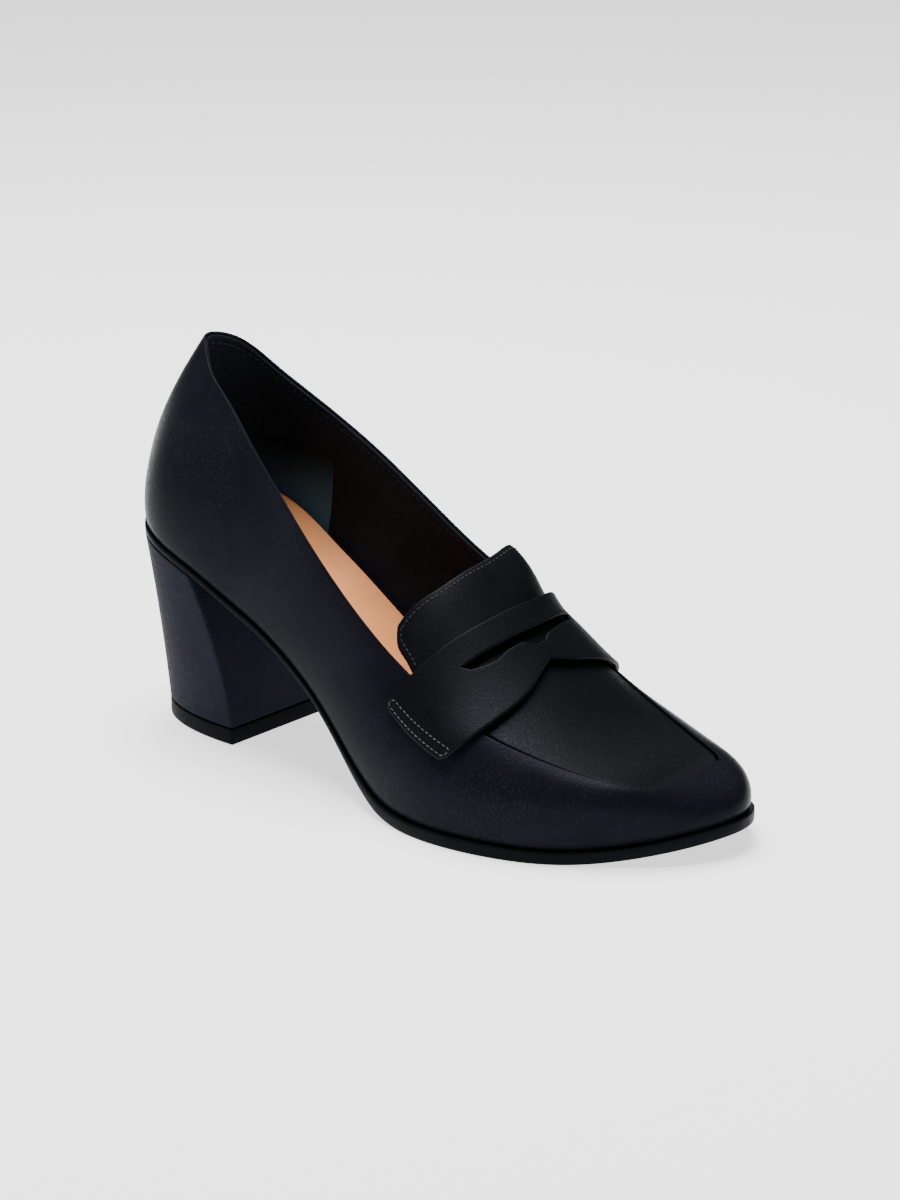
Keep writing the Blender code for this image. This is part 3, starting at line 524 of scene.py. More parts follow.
class StrapSurface:
    """Underside of the strap as a function of share across and share from back to front."""

    def __init__(self):
        self.across = np.linspace(-STRAP_END, STRAP_END, 361)
        self.along = np.linspace(0, 1, 9)
        self.sections = np.array([strap_section(along, self.across) for along in self.along])

    def at(self, across, along):
        k = np.clip(np.searchsorted(self.across, across) - 1, 0, len(self.across) - 2)
        share = (across - self.across[k]) / (self.across[1] - self.across[0])
        low = spline(self.along, self.sections[:, k], along)
        high = spline(self.along, self.sections[:, k + 1], along)
        return low + (high - low) * share

    def normal(self, across, along):
        step = 0.01
        by_across = (self.at(min(across + step, STRAP_END), along)
                     - self.at(max(across - step, -STRAP_END), along))
        by_along = self.at(across, along + step) - self.at(across, along - step)
        return unit(np.cross(by_along, by_across))


def strap_front(across):
    """Share from back to front at which the strap ends, notched in the middle."""
    notch = STRAP_FRONT_INNER[0][0]
    outer = table_spline(STRAP_FRONT_OUTER, np.minimum(across, notch))[..., 0]
    inner = table_spline(STRAP_FRONT_INNER, np.maximum(across, notch))[..., 0]
    return np.where(across < notch, outer, inner)


def faces_of_grid(rows, columns, closed=False):
    faces = []
    for i in range(rows if closed else rows - 1):
        nearer, further = i * columns, (i + 1) % rows * columns
        for j in range(columns - 1):
            faces.append((nearer + j, further + j, further + j + 1, nearer + j + 1))
    return faces


def distance_to(points, borders):
    """Shortest distance from each point to any of the border polylines' points."""
    flat = points.reshape(-1, 3)
    nearest = np.full(len(flat), np.inf)
    for start in range(0, len(borders), 200):
        part = borders[start:start + 200]
        gaps = np.linalg.norm(flat[:, None] - part[None], axis=-1).min(axis=1)
        nearest = np.minimum(nearest, gaps)
    return nearest.reshape(points.shape[:-1])


def edge_profile(distance, radius=EDGE_ROUND, power=2.4):
    """Half thickness near an edge as a share of its full value: 0 at the edge, 1 beyond radius."""
    share = np.clip(distance / radius, 0, 1)
    return (1 - (1 - share) ** power) ** (1 / power)


def padded(middle, normals, half, taper, faces):
    """Closed solid of both sides of a middle sheet; where taper is 0 they share a point."""
    middle, normals, taper = middle.reshape(-1, 3), normals.reshape(-1, 3), taper.ravel()
    offset = half * taper[:, None] * normals
    count = len(middle)
    twin = np.where(taper < 1e-6, np.arange(count), np.arange(count) + count)
    edges = {edge for face in faces for edge in zip(face, face[1:] + face[:1])}
    solid = list(faces) + [tuple(int(twin[i]) for i in reversed(face)) for face in faces]
    for a, b in edges:
        if (b, a) not in edges and (twin[a] != a or twin[b] != b):
            ring = [b, a, int(twin[a]), int(twin[b])]
            solid.append(tuple(i for n, i in enumerate(ring) if i not in ring[:n]))
    used = np.unique(np.concatenate([np.array(face) for face in solid]))
    place = np.zeros(2 * count, int)
    place[used] = np.arange(len(used))
    points = np.vstack([middle + offset, middle - offset])[used]
    return points, [tuple(int(place[i]) for i in face) for face in solid]


def sheet_solid(middle, normals, half, taper, closed=False):
    """Closed solid of both sides of a grid of points."""
    return padded(middle, normals, half, taper, faces_of_grid(*middle.shape[:2], closed))


def grid_border(grid):
    return np.concatenate([grid[0], grid[-1], grid[:, 0], grid[:, -1]])


def upward(normals):
    """The directions, all turned round if they point down."""
    return normals * np.sign(normals[..., 2:].mean())


def placed(name, data):
    """A new object of the data, linked into the scene."""
    made = bpy.data.objects.new(name, data)
    bpy.context.scene.collection.objects.link(made)
    return made


def mesh_object(name, points, faces, finish, node=None, slot=None):
    """Smooth object from points in millimetres that rides on the shoe and stands for a node."""
    mesh = bpy.data.meshes.new(name)
    mesh.from_pydata(((points - FLOOR_CENTRE) * METRES_PER_MM).tolist(), [], faces)
    mesh.validate()
    mesh.shade_smooth()
    mesh.materials.append(finish)
    made = placed(name, mesh)
    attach(made, "root")
    if node:
        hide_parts(node)
    return made


def tube(loops):
    """Points of loops of equal count and the side faces between them."""
    count = len(loops[0])
    faces = []
    for level in range(len(loops) - 1):
        for i in range(count):
            a, b = level * count + i, level * count + (i + 1) % count
            faces.append((a, b, b + count, a + count))
    return np.vstack(loops), faces


def lofted(loops):
    """Closed solid through loops. Its ends are closed by strips that join the points of a loop
    in pairs, the first with the last."""
    points, faces = tube(loops)
    count = len(loops[0])
    top = (len(loops) - 1) * count
    for i in range(count // 2 - 1):
        faces.append((i, count - 1 - i, count - 2 - i, i + 1))
        faces.append((top + i, top + i + 1, top + count - 2 - i, top + count - 1 - i))
    return points, faces


def capped(loops):
    """Closed solid through loops, each end closed by a fan round its middle."""
    points, faces = tube(loops)
    count = len(loops[0])
    for level in (0, len(loops) - 1):
        centre = len(points)
        points = np.vstack([points, loops[level].mean(axis=0)])
        for i in range(count):
            pair = (level * count + i, level * count + (i + 1) % count)
            faces.append((*pair[::-1], centre) if level == 0 else (*pair, centre))
    return points, faces


def moved_out(loop, distance):
    """A flat loop moved outwards, each point along its corner's middle direction."""
    along = np.roll(loop, -1, axis=0) - np.roll(loop, 1, axis=0)
    out = unit(np.stack([along[:, 1], -along[:, 0]], axis=-1))
    return loop + distance * out


# Materials


def feed(node, inputs):
    """Sets a node's inputs: a socket is linked, anything else becomes the value."""
    for key, value in inputs.items():
        if isinstance(value, bpy.types.NodeSocket):
            node.id_data.links.new(value, node.inputs[key])
        else:
            node.inputs[key].default_value = value


def add(tree, kind, inputs=None, **settings):
    node = tree.nodes.new(kind)
    for key, value in settings.items():
        setattr(node, key, value)
    feed(node, inputs or {})
    return node


def node_material(name):
    """A material with its node tree, its shader and the object's own coordinates."""
    made = bpy.data.materials.new(name)
    made.use_nodes = True
    tree = made.node_tree
    return made, tree, tree.nodes["Principled BSDF"], add(tree, "ShaderNodeTexCoord").outputs["Object"]


def noise(tree, place, scale, detail, roughness=0.5, distortion=0.0):
    inputs = {"Vector": place, "Scale": scale, "Detail": detail, "Roughness": roughness,
              "Distortion": distortion}
    return add(tree, "ShaderNodeTexNoise", inputs).outputs["Fac"]


def ramp(tree, source, low, high):
    """Colour fed by a source socket, between two stops of place and colour or grey."""
    node = add(tree, "ShaderNodeValToRGB", {"Fac": source})
    for element, (place, colour) in zip(node.color_ramp.elements, (low, high)):
        element.position = place
        element.color = (*np.broadcast_to(colour, 3), 1.0)
    return node.outputs["Color"]


def bump(tree, source, strength, distance, **below):
    inputs = {"Height": source, "Strength": strength, "Distance": distance, **below}
    return add(tree, "ShaderNodeBump", inputs).outputs["Normal"]


def mixed(tree, share, before, colour):
    """A socket's colour, with a fixed one mixed in by a share."""
    inputs = {0: share, 6: before, 7: (*colour, 1.0)}
    return add(tree, "ShaderNodeMix", inputs, data_type="RGBA").outputs[2]


def near_the_sock(tree, place):
    """A share of painted light for the heel grip: 1 near the sock, where its colour is painted lighter as
    if lit, 0 further up.
    """
    height = add(tree, "ShaderNodeSeparateXYZ", {"Vector": place}).outputs["Z"]
    inputs = {"Value": height, "From Min": GRIP_DARK_ABOVE, "From Max": GRIP_PAINTED_LIGHT_BELOW}
    return add(tree, "ShaderNodeMapRange", inputs, interpolation_type="SMOOTHSTEP").outputs["Result"]


def leather(name, dark, light, roughness, grain=0.34, pore_size=0.75, specular=0.11,
            specular_tint=(1.0, 1.0, 1.0), speck=1.0, painted_lit_colour=None):
    """Smooth leather: cloudy colour with patches of specks, fine pebbled grain, uneven gloss."""
    made, tree, shader, place = node_material(name)
    clouds = ramp(tree, noise(tree, place, 42.0, 9.0, 0.68), (0.32, dark), (0.70, light))
    patches = ramp(tree, noise(tree, place, 24.0, 3.0, 0.6), (0.50, 0.10), (0.66, 1.0))
    specks = ramp(tree, noise(tree, place, 1300.0, 3.0, 0.6), (0.52, 0.0), (0.68, 1.0))
    share = add(tree, "ShaderNodeMath", {0: patches, 1: specks}, operation="MULTIPLY").outputs["Value"]
    pores = add(tree, "ShaderNodeTexVoronoi", {"Vector": place, "Scale": 1000.0 / pore_size}, feature="F1")
    wrinkles = bump(tree, noise(tree, place, 230.0, 3.0, distortion=0.6), 0.10, 0.0003)
    colour = mixed(tree, share, clouds, [speck * part for part in light])
    # Painted light: the lower part, near the sock, painted in a lighter colour as if lit
    if painted_lit_colour:
        colour = mixed(tree, near_the_sock(tree, place), colour, painted_lit_colour)
    feed(shader, {
        "Base Color": colour,
        "Roughness": ramp(tree, noise(tree, place, 900.0, 5.0, 0.6), (0.3, roughness - 0.08),
                          (0.7, roughness + 0.10)),
        "Normal": bump(tree, pores.outputs["Distance"], grain, 0.00012, Normal=wrinkles),
        "Specular IOR Level": specular,
        "Specular Tint": (*specular_tint, 1.0),
    })
    return made


def rubber(name, dark, light, roughness):
    """Dull black rubber, slightly worn in places."""
    made, tree, shader, place = node_material(name)
    speck = noise(tree, place, 650.0, 4.0)
    feed(shader, {
        "Base Color": ramp(tree, noise(tree, place, 60.0, 3.0), (0.35, dark), (0.7, light)),
        "Roughness": ramp(tree, speck, (0.3, roughness - 0.06), (0.7, roughness + 0.08)),
        "Normal": bump(tree, speck, 0.12, 0.0001),
        "Specular IOR Level": 0.035,
        "Specular Tint": (0.70, 0.76, 1.0, 1.0),
    })
    return made


def thread(name, colour):
    """Twisted thread, its colour painted darker in the grooves of the twist as painted shade."""
    made, tree, shader, place = node_material(name)
    inputs = {"Vector": place, "Scale": 700.0, "Distortion": 1.0}
    twist = add(tree, "ShaderNodeTexWave", inputs, bands_direction="DIAGONAL").outputs["Fac"]
    feed(shader, {
        "Base Color": ramp(tree, twist, (0.2, [0.55 * part for part in colour]), (0.8, colour)),
        "Normal": bump(tree, twist, 0.4, 0.0001),
        "Roughness": 0.6,
    })
    return made


NAVY = leather("navy_leather", (0.0037, 0.0040, 0.0062), (0.0068, 0.0073, 0.0110), 0.34, specular=0.030,
               specular_tint=(0.78, 0.82, 1.0), speck=1.8)
# Lighter copy of the navy leather for the heel: its brighter colour is painted light, the heel's side
# painted as lit by the floor
HEEL_NAVY_PAINTED_LIGHT = leather("heel_leather_painted_lit", (0.0070, 0.0075, 0.0132), (0.0106, 0.0114, 0.0190), 0.56,
                    specular=0.026, specular_tint=(0.70, 0.76, 1.0), speck=1.5)
BLACK = leather("black_leather", (0.0018, 0.0020, 0.0029), (0.0036, 0.0040, 0.0056), 0.46, specular=0.06,
                specular_tint=(0.80, 0.85, 1.0), speck=1.6)
LINING = leather("lining_leather", (0.0075, 0.0092, 0.0135), (0.0120, 0.0145, 0.0205), 0.58,
                 specular=0.04, specular_tint=(0.6, 0.8, 1.0))
# The grip's lower part is painted lighter near the sock: painted light
GRIP = leather("heel_grip_suede", (0.0050, 0.0080, 0.0125), (0.0080, 0.0125, 0.0190), 0.8,
               painted_lit_colour=(0.036, 0.086, 0.135))
TAN = leather("tan_leather", (0.76, 0.275, 0.085), (0.84, 0.335, 0.115), 0.56, grain=0.15,
              pore_size=0.8, specular=0.3)
EDGE = rubber("sole_edge", (0.0025, 0.0025, 0.0028), (0.0045, 0.0045, 0.0050), 0.42)
RUBBER = rubber("top_piece_rubber", (0.0025, 0.0025, 0.0030), (0.0045, 0.0046, 0.0054), 0.55)
GREY_THREAD = thread("grey_thread", (0.060, 0.062, 0.074))
DARK_THREAD = thread("dark_thread", (0.030, 0.030, 0.038))


# Upper


def upper_clocks(count):
    """Clocks round the shoe, closer together at the apron's corners and at the throat."""
    clocks = np.linspace(0, 1, count, endpoint=False)
    close = []
    for corner, width, steps in CLOSE_CLOCKS:
        clocks = clocks[np.abs(clocks - corner) > width]
        close.append(corner + np.linspace(-width, width, steps + 1))
    return np.sort(np.concatenate([clocks, *close]))


def crease(clock, height, row):
    """A soft trough or ridge across the wall, from its row in the table."""
    at_clock, at_height, width, along, reach, depth = row
    x, y = (clock - at_clock) * GIRTH, (height - at_height) * WALL_TALL
    direction = np.array(along, float) / np.linalg.norm(along)
    down = x * direction[0] + y * direction[1]
    side = x * direction[1] - y * direction[0]
    return depth * np.exp(-(side / width) ** 2) * np.exp(-(down / reach) ** 4)


def upper_relief(clock, height):
    """How far the outer face stands from the smooth last, in mm."""
    return sum(crease(clock[:, None], height, row) for row in CREASES)


def wall_tall(clocks):
    """Straight distance from the feather line to the rim, as a column."""
    return np.linalg.norm(rim(clocks) - feather(clocks), axis=-1)[:, None]


def upper_middle(clocks, heights, depth):
    """Sheet at a depth below the outer face, with the foot drawn in over the lasted edge."""
    outer = wall(clocks, heights)
    normals = grid_normals(outer, closed=True)
    above = np.linalg.norm(outer - feather(clocks)[:, None], axis=-1)
    tuck = FOOT_TUCK * (1 - np.clip(above / FOOT_TUCK_HEIGHT, 0, 1)) ** 2
    relief = upper_relief(clocks, heights)
    outer = outer + relief[..., None] * normals - tuck[..., None] * outward(clocks)[:, None]
    normals = grid_normals(outer, closed=True)
    return outer - depth * normals, normals


def rim_heights(clocks, count, drop, marks):
    """Shares of height for each clock: even steps, then given distances in mm below the rim."""
    near = edge_height(clocks)[:, None] - (drop + np.array(marks)[::-1][None, :]) / wall_tall(clocks)
    even = np.linspace(0, 1, count, endpoint=False)[None, :] * near[:, :1]
    return np.hstack([even, near])


def make_upper():
    clocks = upper_clocks(420)
    middle, normals = upper_middle(clocks, rim_heights(clocks, 54, 0.0, UPPER_MARKS), LEATHER / 2)
    taper = edge_profile(np.linalg.norm(middle - middle[:, -1:], axis=-1))
    mesh_object("upper_leather", *sheet_solid(middle, normals, LEATHER / 2, taper, closed=True), NAVY,
                node="upper")


def lining_groove(clock, below):
    """The bound edge of the lining: a stitched groove a little below the topline."""
    throat = smoothstep(0.292, 0.302, clock) * (1 - smoothstep(0.733, 0.743, clock))
    return GROOVE_DEPTH * np.exp(-((below - TOPLINE_ROW) / GROOVE_WIDTH) ** 2) * (1 - throat)


def make_lining():
    clocks = upper_clocks(360)
    heights = rim_heights(clocks, 40, LINING_DROP, LINING_MARKS)
    middle, normals = upper_middle(clocks, heights, (LINING_OUTER + LINING_INNER) / 2)
    below = np.linalg.norm(middle - middle[:, -1:], axis=-1)
    puff = PUFF_DEPTH * np.exp(-((below - PUFF_BELOW) / PUFF_WIDTH) ** 2)
    taper = edge_profile(below, 0.35)
    shift = (lining_groove(clocks[:, None], below) - puff)[..., None] * normals
    middle = middle + shift * np.clip(taper, 0, 1)[..., None]
    solid = sheet_solid(middle, normals, (LINING_INNER - LINING_OUTER) / 2, taper, closed=True)
    mesh_object("lining", *solid, LINING, slot="upper")


def make_heel_grip():
    """Suede patch round the inside of the back."""
    low, high = GRIP_CLOCKS
    pad = 0.006
    around = np.concatenate([[low - pad], low + edged_shares(96.0, 90) * (high - low), [high + pad]])
    tall = wall_tall(around)
    bottom, top = GRIP_FROM_FOOT / tall, 1 - GRIP_FROM_RIM / tall
    heights = bottom + (top - bottom) * edged_shares(50.0, 40)[None, :]
    outer = wall(around, heights)
    normals = grid_normals(outer)[1:-1]
    outer = outer[1:-1] + upper_relief(around, heights)[1:-1, :, None] * normals
    middle = outer - (LINING_INNER + 0.16) * normals
    taper = edge_profile(distance_to(middle, grid_border(middle)), 0.45)
    mesh_object("heel_grip", *sheet_solid(middle, normals, 0.26, taper), GRIP, slot="upper")


# Apron, tongue and strap


def make_apron():
    top = apron_grid()
    normals = upward(grid_normals(top))
    taper = edge_profile(distance_to(top, grid_border(top)), 0.8)
    middle = top - APRON_THICKNESS / 2 * normals
    mesh_object("apron_leather", *sheet_solid(middle, normals, APRON_THICKNESS / 2, taper), BLACK,
                node="apron_tongue")


def make_seam_tape():
    """Dark strip under the seam of apron and upper, so that nothing light shows through it."""
    clocks = np.linspace(THROAT_OUTER + 0.008, THROAT_INNER - 0.008, 360)
    heights = edge_height(clocks)[:, None] - np.array([[4.0, 2.4, 0.9]]) / wall_tall(clocks)
    vamp_side = upper_middle(clocks, heights, LINING_INNER + 0.2)[0]
    border = apron_line(clocks)[:, :2]
    spine = np.column_stack([np.clip(border[:, 0], 146.0, 196.0), np.full(len(border), 1.5)])
    inward = unit(spine - border)
    apron_side = []
    for inset in (1.0, 3.0):
        plan = border + inset * inward
        apron_side.append(lifted_crown(plan[:, 0], plan[:, 1], -2.0))
    sheet = np.concatenate([vamp_side, np.stack(apron_side, axis=1)], axis=1)[1:-1]
    taper = np.zeros(sheet.shape[:2])
    taper[1:-1, 1:-1] = 1
    mesh_object("seam_tape", *sheet_solid(sheet, upward(grid_normals(sheet)), 0.12, taper), LINING,
                slot="apron_tongue")


def strap_columns():
    """Shares across at which the strap's mesh has columns, closer at its ends and at the slot's tips."""
    marks = sorted({-STRAP_END, STRAP_FRONT_INNER[0][0], STRAP_END, *(row[0] for row in SLOT)})
    columns = [np.linspace(low, high, max(2, round((high - low) / 0.018)) + 1)
               for low, high in zip(marks, marks[1:])]
    close = np.array((0.002, 0.006, 0.013, 0.024))
    tips = [SLOT[0][0] + close, SLOT[-1][0] - close, SLOT[0][0] - close, SLOT[-1][0] + close]
    ends = [-STRAP_END + close, STRAP_END - close]
    return np.unique(np.round(np.concatenate([*columns, *tips, *ends]), 6))


def strap_shares(columns, behind, before):
    """Shares from back to front for the rows behind the slot and those in front of it."""
    slot = np.array(SLOT)
    slot_back = np.interp(columns, slot[:, 0], slot[:, 1])
    slot_front = np.interp(columns, slot[:, 0], slot[:, 2])
    from_end = np.clip((STRAP_END - np.abs(columns)) / STRAP_END_ROUND, 0, 1)
    back = STRAP_CORNER * (1 - np.sqrt(1 - (1 - from_end) ** 2))
    front = strap_front(columns) - back
    return np.vstack([back + (slot_back - back) * share for share in behind]
                     + [slot_front + (front - slot_front) * share for share in before])


def strap_faces(number, last, parted):
    """Faces of the strap's grid; rows last and last + 1 are one row where the strap isn't parted."""
    number[last + 1, ~parted] = number[last, ~parted]
    return [tuple(int(number.flat[i]) for i in face) for face in faces_of_grid(*number.shape)
            if face[0] // len(parted) != last]


def make_strap(surface):
    columns = strap_columns()
    behind, before = edged_shares(7.5, 8), edged_shares(12.5, 16)
    last = len(behind) - 1
    share = strap_shares(columns, behind, before)
    under, normals = (np.stack([read(across, along) for across, along in zip(columns, share.T)], axis=1)
                      for read in (surface.at, surface.normal))
    normals = upward(normals)
    parted = (columns > SLOT[0][0] + 1e-6) & (columns < SLOT[-1][0] - 1e-6)
    faces = strap_faces(np.arange(share.size).reshape(share.shape), last, parted)
    opened = np.flatnonzero(parted)
    tips = [opened[0] - 1, opened[-1] + 1]
    slot_back = under[last, tips[0]:tips[1] + 1]
    slot_front = np.vstack([under[last, tips[:1]], under[last + 1, opened], under[last, tips[1:]]])
    borders = [under[0], under[-1], under[:, 0], under[:, -1], slot_back, slot_front]
    distance = distance_to(under, np.concatenate([dense(border) for border in borders]))
    taper = np.where(distance < 1e-3, 0.0, edge_profile(distance, 0.6))
    middle = under + STRAP_THICKNESS / 2 * normals
    solid = padded(middle, normals, STRAP_THICKNESS / 2, taper, faces)
    mesh_object("strap_leather", *solid, BLACK, node="saddle_strap")


def dense(line, step=0.15):
    """A polyline with points no further apart than step, its own points among them."""
    pieces = []
    for a, b in zip(line, line[1:]):
        count = max(1, int(np.ceil(np.linalg.norm(b - a) / step)))
        pieces.append(a + (b - a) * np.linspace(0, 1, count, endpoint=False)[:, None])
    pieces.append(line[-1:])
    return np.vstack(pieces)


# Stitches


def stitches(name, path, up, finish, slot, pitch, radius):
    """A row of raised thread stitches along a path; up is the direction out of the leather."""
    lengths = lengths_along(path)
    count = max(1, int(round(lengths[-1] / pitch)))
    pitch = lengths[-1] / count
    sides, rings = 6, 7
    points, faces = [], []
    shares = np.linspace(0, 1, rings)
    turns = np.linspace(0, 2 * np.pi, sides, endpoint=False)[:, None]
    bulge = np.sqrt(np.clip(1 - (2 * shares - 1) ** 4, 0, 1))
    for n in range(count):
        start, end = n * pitch + THREAD_GAP / 2, (n + 1) * pitch - THREAD_GAP / 2
        at = start + shares * (end - start)
        spine = read_along(lengths, path, at)
        out = unit(read_along(lengths, up, at))
        ahead = unit(np.gradient(spine, axis=0))
        side = unit(np.cross(ahead, out))
        size = radius * (0.35 + 0.65 * bulge)
        spine = spine + ((THREAD_LIFT + radius) * bulge - radius)[:, None] * out
        around, skin = tube([centre + r * (np.cos(turns) * s + np.sin(turns) * o)
                             for centre, o, s, r in zip(spine, out, side, size)])
        skin += [tuple(range(sides))[::-1], tuple(range(len(around) - sides, len(around)))]
        faces += [tuple(len(points) + i for i in face) for face in skin]
        points.extend(around)
    mesh_object(name, np.array(points), faces, finish, slot=slot)


def strap_ring(surface, side):
    """Long ring of stitches near one end of the strap: path and direction out."""
    near, far = STRAP_END - 0.055, STRAP_END - 0.150
    middle, half = (near + far) / 2, (near - far) / 2
    low, high, swell = 0.075, 0.925, 0.035
    bend = np.linspace(-np.pi / 2, np.pi / 2, 9)
    across = np.concatenate([np.full(40, near), middle - half * np.sin(bend), np.full(40, far),
                             middle + half * np.sin(bend), [near]])
    along = np.concatenate([np.linspace(low, high, 40), high + swell * np.cos(bend),
                            np.linspace(high, low, 40), low - swell * np.cos(bend), [low]])
    points, ups = (np.array([read(side * a, np.array([b]))[0] for a, b in zip(across, along)])
                   for read in (surface.at, surface.normal))
    ups = upward(ups)
    return points + STRAP_THICKNESS * ups, ups


def tongue_row():
    """Row of stitches a little inside the free edge of the tongue."""
    outer, _, inner, tip = apron_border()
    free = np.vstack([outer[SEAM_POINTS:], tip[1:-1], inner[SEAM_POINTS:][::-1]])
    free = resample(free, 160)
    ahead = unit(np.gradient(free, axis=0))
    inward = np.stack([ahead[:, 1], -ahead[:, 0]], axis=-1)
    inward *= np.sign(inward[len(inward) // 2, 0])
    plan = resample(free + TONGUE_ROW * inward, 240)
    plan = plan[plan[:, 0] > 121.0]
    return crown_frame(plan[:, 0], plan[:, 1], 0.3)


def topline_row():
    """Row of stitches inside the topline, from the inner throat round the back to the outer."""
    clocks = np.linspace(-0.255, 0.290, 700)
    base = 1 - (LINING_DROP + TOPLINE_ROW) / wall_tall(clocks)
    outer = wall(clocks, np.hstack([base - 0.02, base, base + 0.02]))
    normals = grid_normals(outer)[:, 1]
    relief = upper_relief(clocks, base)[:, 0]
    return outer[:, 1] - (LINING_INNER - relief - 0.1)[:, None] * normals, -normals


# Sole, insole, heel


def sole_loop(stations, blunt=0.03):
    """Feather line from above, in pairs of points with the same x from the heel to the toe."""
    clock = np.linspace(-0.1, 1.1, 4801)
    x = feather(clock)[:, 0]
    heel, toe = int(np.argmin(x[:800])), int(np.argmax(x))
    heel_again = toe + int(np.argmin(x[toe:]))
    swing = 0.5 - 0.5 * np.cos(np.linspace(blunt, np.pi - blunt, stations))
    places = x[heel] + (x[toe] - x[heel]) * swing
    outer = np.interp(places, x[heel:toe + 1], clock[heel:toe + 1])
    inner = np.interp(places, x[toe:heel_again + 1][::-1], clock[toe:heel_again + 1][::-1])
    return feather(np.concatenate([outer, inner[::-1]]))[:, :2]


def outsole_level(loop, inset, share, drop):
    """Loop round the outsole, inset from its edge, at a share of its thickness from the top."""
    thickness, margin = outsole_size(loop[:, 0])
    plan = moved_out(loop, (margin - inset)[:, None])
    return np.column_stack([plan, rise(plan[:, 0]) - FIT_GAP - share * thickness - drop])


def make_outsole():
    loop = sole_loop(190)
    mesh_object("outsole_body", *lofted([outsole_level(loop, *row) for row in OUTSOLE_PROFILE]), EDGE,
                node="outsole")


def make_insole():
    """Tan sock with a slightly upturned edge, dark on its side and underside."""
    loop = sole_loop(150)
    loops = []
    for inset, above in INSOLE_PROFILE:
        plan = moved_out(loop, -INSOLE_MARGIN - inset)
        loops.append(np.column_stack([plan, rise(plan[:, 0]) + INSOLE_THICKNESS + above]))
    sock = mesh_object("insole_sock", *lofted(loops), TAN, node="insole")
    sock.data.materials.append(EDGE)
    for face in sock.data.polygons:
        face.material_index = int(face.normal.z < 0.25)


def rounded_loop(loop, radius, count):
    """A closed loop with its corners softened over about radius, evenly spaced."""
    closed = np.vstack([loop, loop[:1]])
    steps = 4000
    fine = resample(closed, steps + 1)[:-1]
    reach = max(1, int(radius / lengths_along(closed)[-1] * steps))
    window = np.hanning(2 * reach + 3)
    window /= window.sum()
    pad = 2 * reach + 2
    tiled = np.vstack([fine[-pad:], fine, fine[:pad]])
    soft = np.stack([np.convolve(column, window, mode="same") for column in tiled.T], axis=-1)[pad:-pad]
    return resample(np.vstack([soft, soft[:1]]), count + 1)[:-1]


def heel_foot(count=160):
    """D-shaped outline of the heel's foot, from the inner breast corner round the back."""
    turn = np.linspace(-np.pi / 2, np.pi / 2, count)
    depth = np.cos(turn).clip(0) ** HEEL_SQUARENESS
    width = np.sign(np.sin(turn)) * np.abs(np.sin(turn)) ** HEEL_SQUARENESS
    x = HEEL_BREAST_X - HEEL_DEPTH * depth + HEEL_BREAST_TURN * (width + 1) / 2
    return np.column_stack([x, HEEL_HALF_WIDTH * width])[::-1]


def heel_seat(count=160):
    """Outline of the heel's top, a little outside the feather line."""
    clock = np.linspace(HEEL_TOP_CLOCKS[1], HEEL_TOP_CLOCKS[0], count)
    plan = feather(clock)[:, :2] + HEEL_TOP_MARGIN * outward(clock)[:, :2]
    return resample(plan, count)


def make_heel():
    foot, seat = heel_foot(), heel_seat()
    count = len(foot)
    seat_z = rise(seat[:, 0]) - outsole_size(seat[:, 0])[0] - 2 * FIT_GAP
    foot_z = TOP_PIECE_HEIGHT + FIT_GAP
    at_breast = np.abs(np.linspace(-1, 1, count)) ** 6
    hollow_x = HEEL_SIDE_HOLLOW + (HEEL_BREAST_HOLLOW - HEEL_SIDE_HOLLOW) * at_breast
    hollow = np.column_stack([hollow_x, np.full(count, HEEL_SIDE_HOLLOW)])
    loops = []
    for height in edged_shares(HEEL_TALL, 36, (0.0, 0.1, 0.35, 0.8, 1.6)):
        plan = foot + (seat - foot) * height ** hollow
        level = rounded_loop(np.column_stack([plan, foot_z + (seat_z - foot_z) * height]),
                             HEEL_CORNER, 220)
        from_end = min(height, 1 - height) * HEEL_TALL
        pulled = 0.35 * (1 - min(from_end / 0.5, 1)) ** 2
        level[:, :2] = moved_out(level[:, :2], -pulled)
        loops.append(level)
    made = mesh_object("heel_cover", *capped(loops), HEEL_NAVY_PAINTED_LIGHT, node="heel")
    made.data.set_sharp_from_angle(angle=1.0)


def make_top_piece():
    loop = rounded_loop(heel_foot(), TOP_PIECE_CORNER, 220)
    top = TOP_PIECE_HEIGHT
    profile = ((-0.9, 0.0), (-0.35, 0.03), (-0.1, 0.2), (0.0, 0.6), (0.0, top - 0.7), (-0.12, top - 0.3),
               (-0.5, top - 0.05), (-1.0, top))
    loops = [np.column_stack([moved_out(loop, out), np.full(len(loop), z)]) for out, z in profile]
    mesh_object("top_lift", *capped(loops), RUBBER, node="top_piece")


# Stage


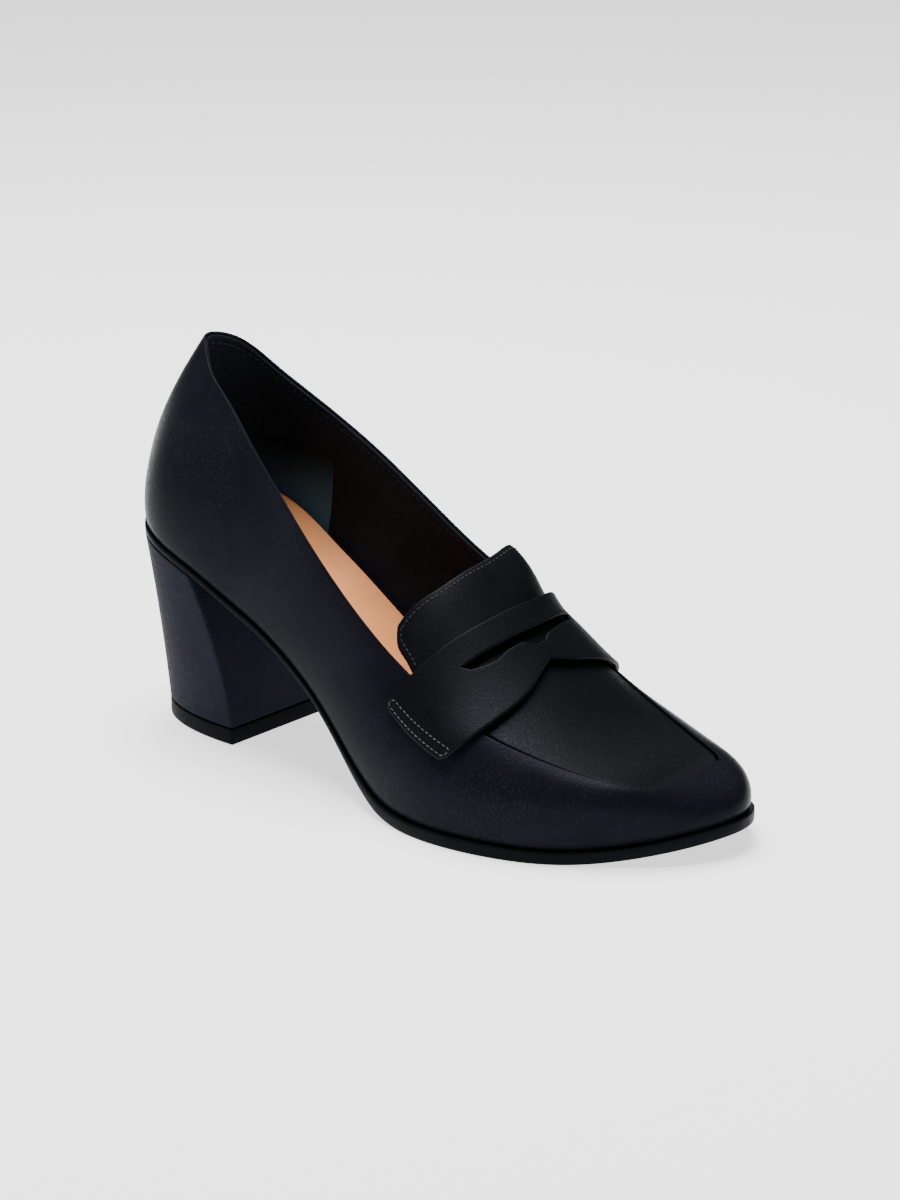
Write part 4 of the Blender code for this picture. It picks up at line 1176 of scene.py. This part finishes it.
def make_stage():
    floor_mesh = bpy.data.meshes.new("floor")
    size = 9.0
    floor_mesh.from_pydata([(-size, -size, 0), (size, -size, 0), (size, size, 0), (-size, size, 0)], [],
                           [(0, 1, 2, 3)])
    made, _, shader, _ = node_material("pale_floor")
    feed(shader, {"Base Color": (0.80, 0.80, 0.80, 1.0), "Emission Color": (1.0, 1.0, 1.0, 1.0),
                  "Emission Strength": 1.35, "Roughness": 0.7, "Specular IOR Level": 0.2})
    floor_mesh.materials.append(made)
    floor = placed("floor", floor_mesh)
    world = bpy.data.worlds.new("studio")
    world.use_nodes = True
    feed(world.node_tree.nodes["Background"], {"Color": (0.86, 0.87, 0.90, 1.0), "Strength": 0.20})
    bpy.context.scene.world = world


def area_light(name, place, aim, side, power):
    data = bpy.data.lights.new(name, "AREA")
    data.shape = "RECTANGLE"
    data.size = data.size_y = side
    data.energy = power
    lamp = placed(name, data)
    lamp.location = place
    lamp.rotation_euler = (Vector(aim) - Vector(place)).to_track_quat("-Z", "Y").to_euler()


def make_camera():
    azimuth, elevation = np.radians(CAMERA_AZIMUTH), np.radians(CAMERA_ELEVATION)
    back = np.array([np.sin(azimuth) * np.cos(elevation), -np.cos(azimuth) * np.cos(elevation),
                     np.sin(elevation)])
    right = np.array([np.cos(azimuth), np.sin(azimuth), 0.0])
    up = np.cross(back, right)
    aside, below = (np.array(TARGET_PIXEL) - np.array(IMAGE_SIZE) / 2) / PIXELS_PER_MM
    place = (np.array(CAMERA_TARGET) - FLOOR_CENTRE + CAMERA_DISTANCE * back
             - aside * right + below * up) * METRES_PER_MM
    data = bpy.data.cameras.new("camera")
    data.sensor_fit = "AUTO"
    data.sensor_width = SENSOR_MM
    data.lens = PIXELS_PER_MM * CAMERA_DISTANCE * SENSOR_MM / IMAGE_SIZE[1]
    camera = placed("camera", data)
    turn = Matrix((right, up, back)).transposed()
    camera.matrix_world = Matrix.Translation(Vector(place)) @ turn.to_4x4()
    bpy.context.scene.camera = camera


make_camera()
make_stage()
for light in LIGHTS:
    area_light(*light)

make_upper()
make_lining()
make_heel_grip()
make_apron()
make_seam_tape()
STRAP = StrapSurface()
make_strap(STRAP)
make_outsole()
make_insole()
make_heel()
make_top_piece()
for side_name, side in (("outer", -1), ("inner", 1)):
    stitches(f"strap_stitches_{side_name}", *strap_ring(STRAP, side), GREY_THREAD,
             "saddle_strap", 1.9, 0.16)
stitches("tongue_stitches", *tongue_row(), DARK_THREAD, "apron_tongue", 1.8, 0.13)
stitches("topline_stitches", *topline_row(), DARK_THREAD, "upper", 2.4, 0.16)
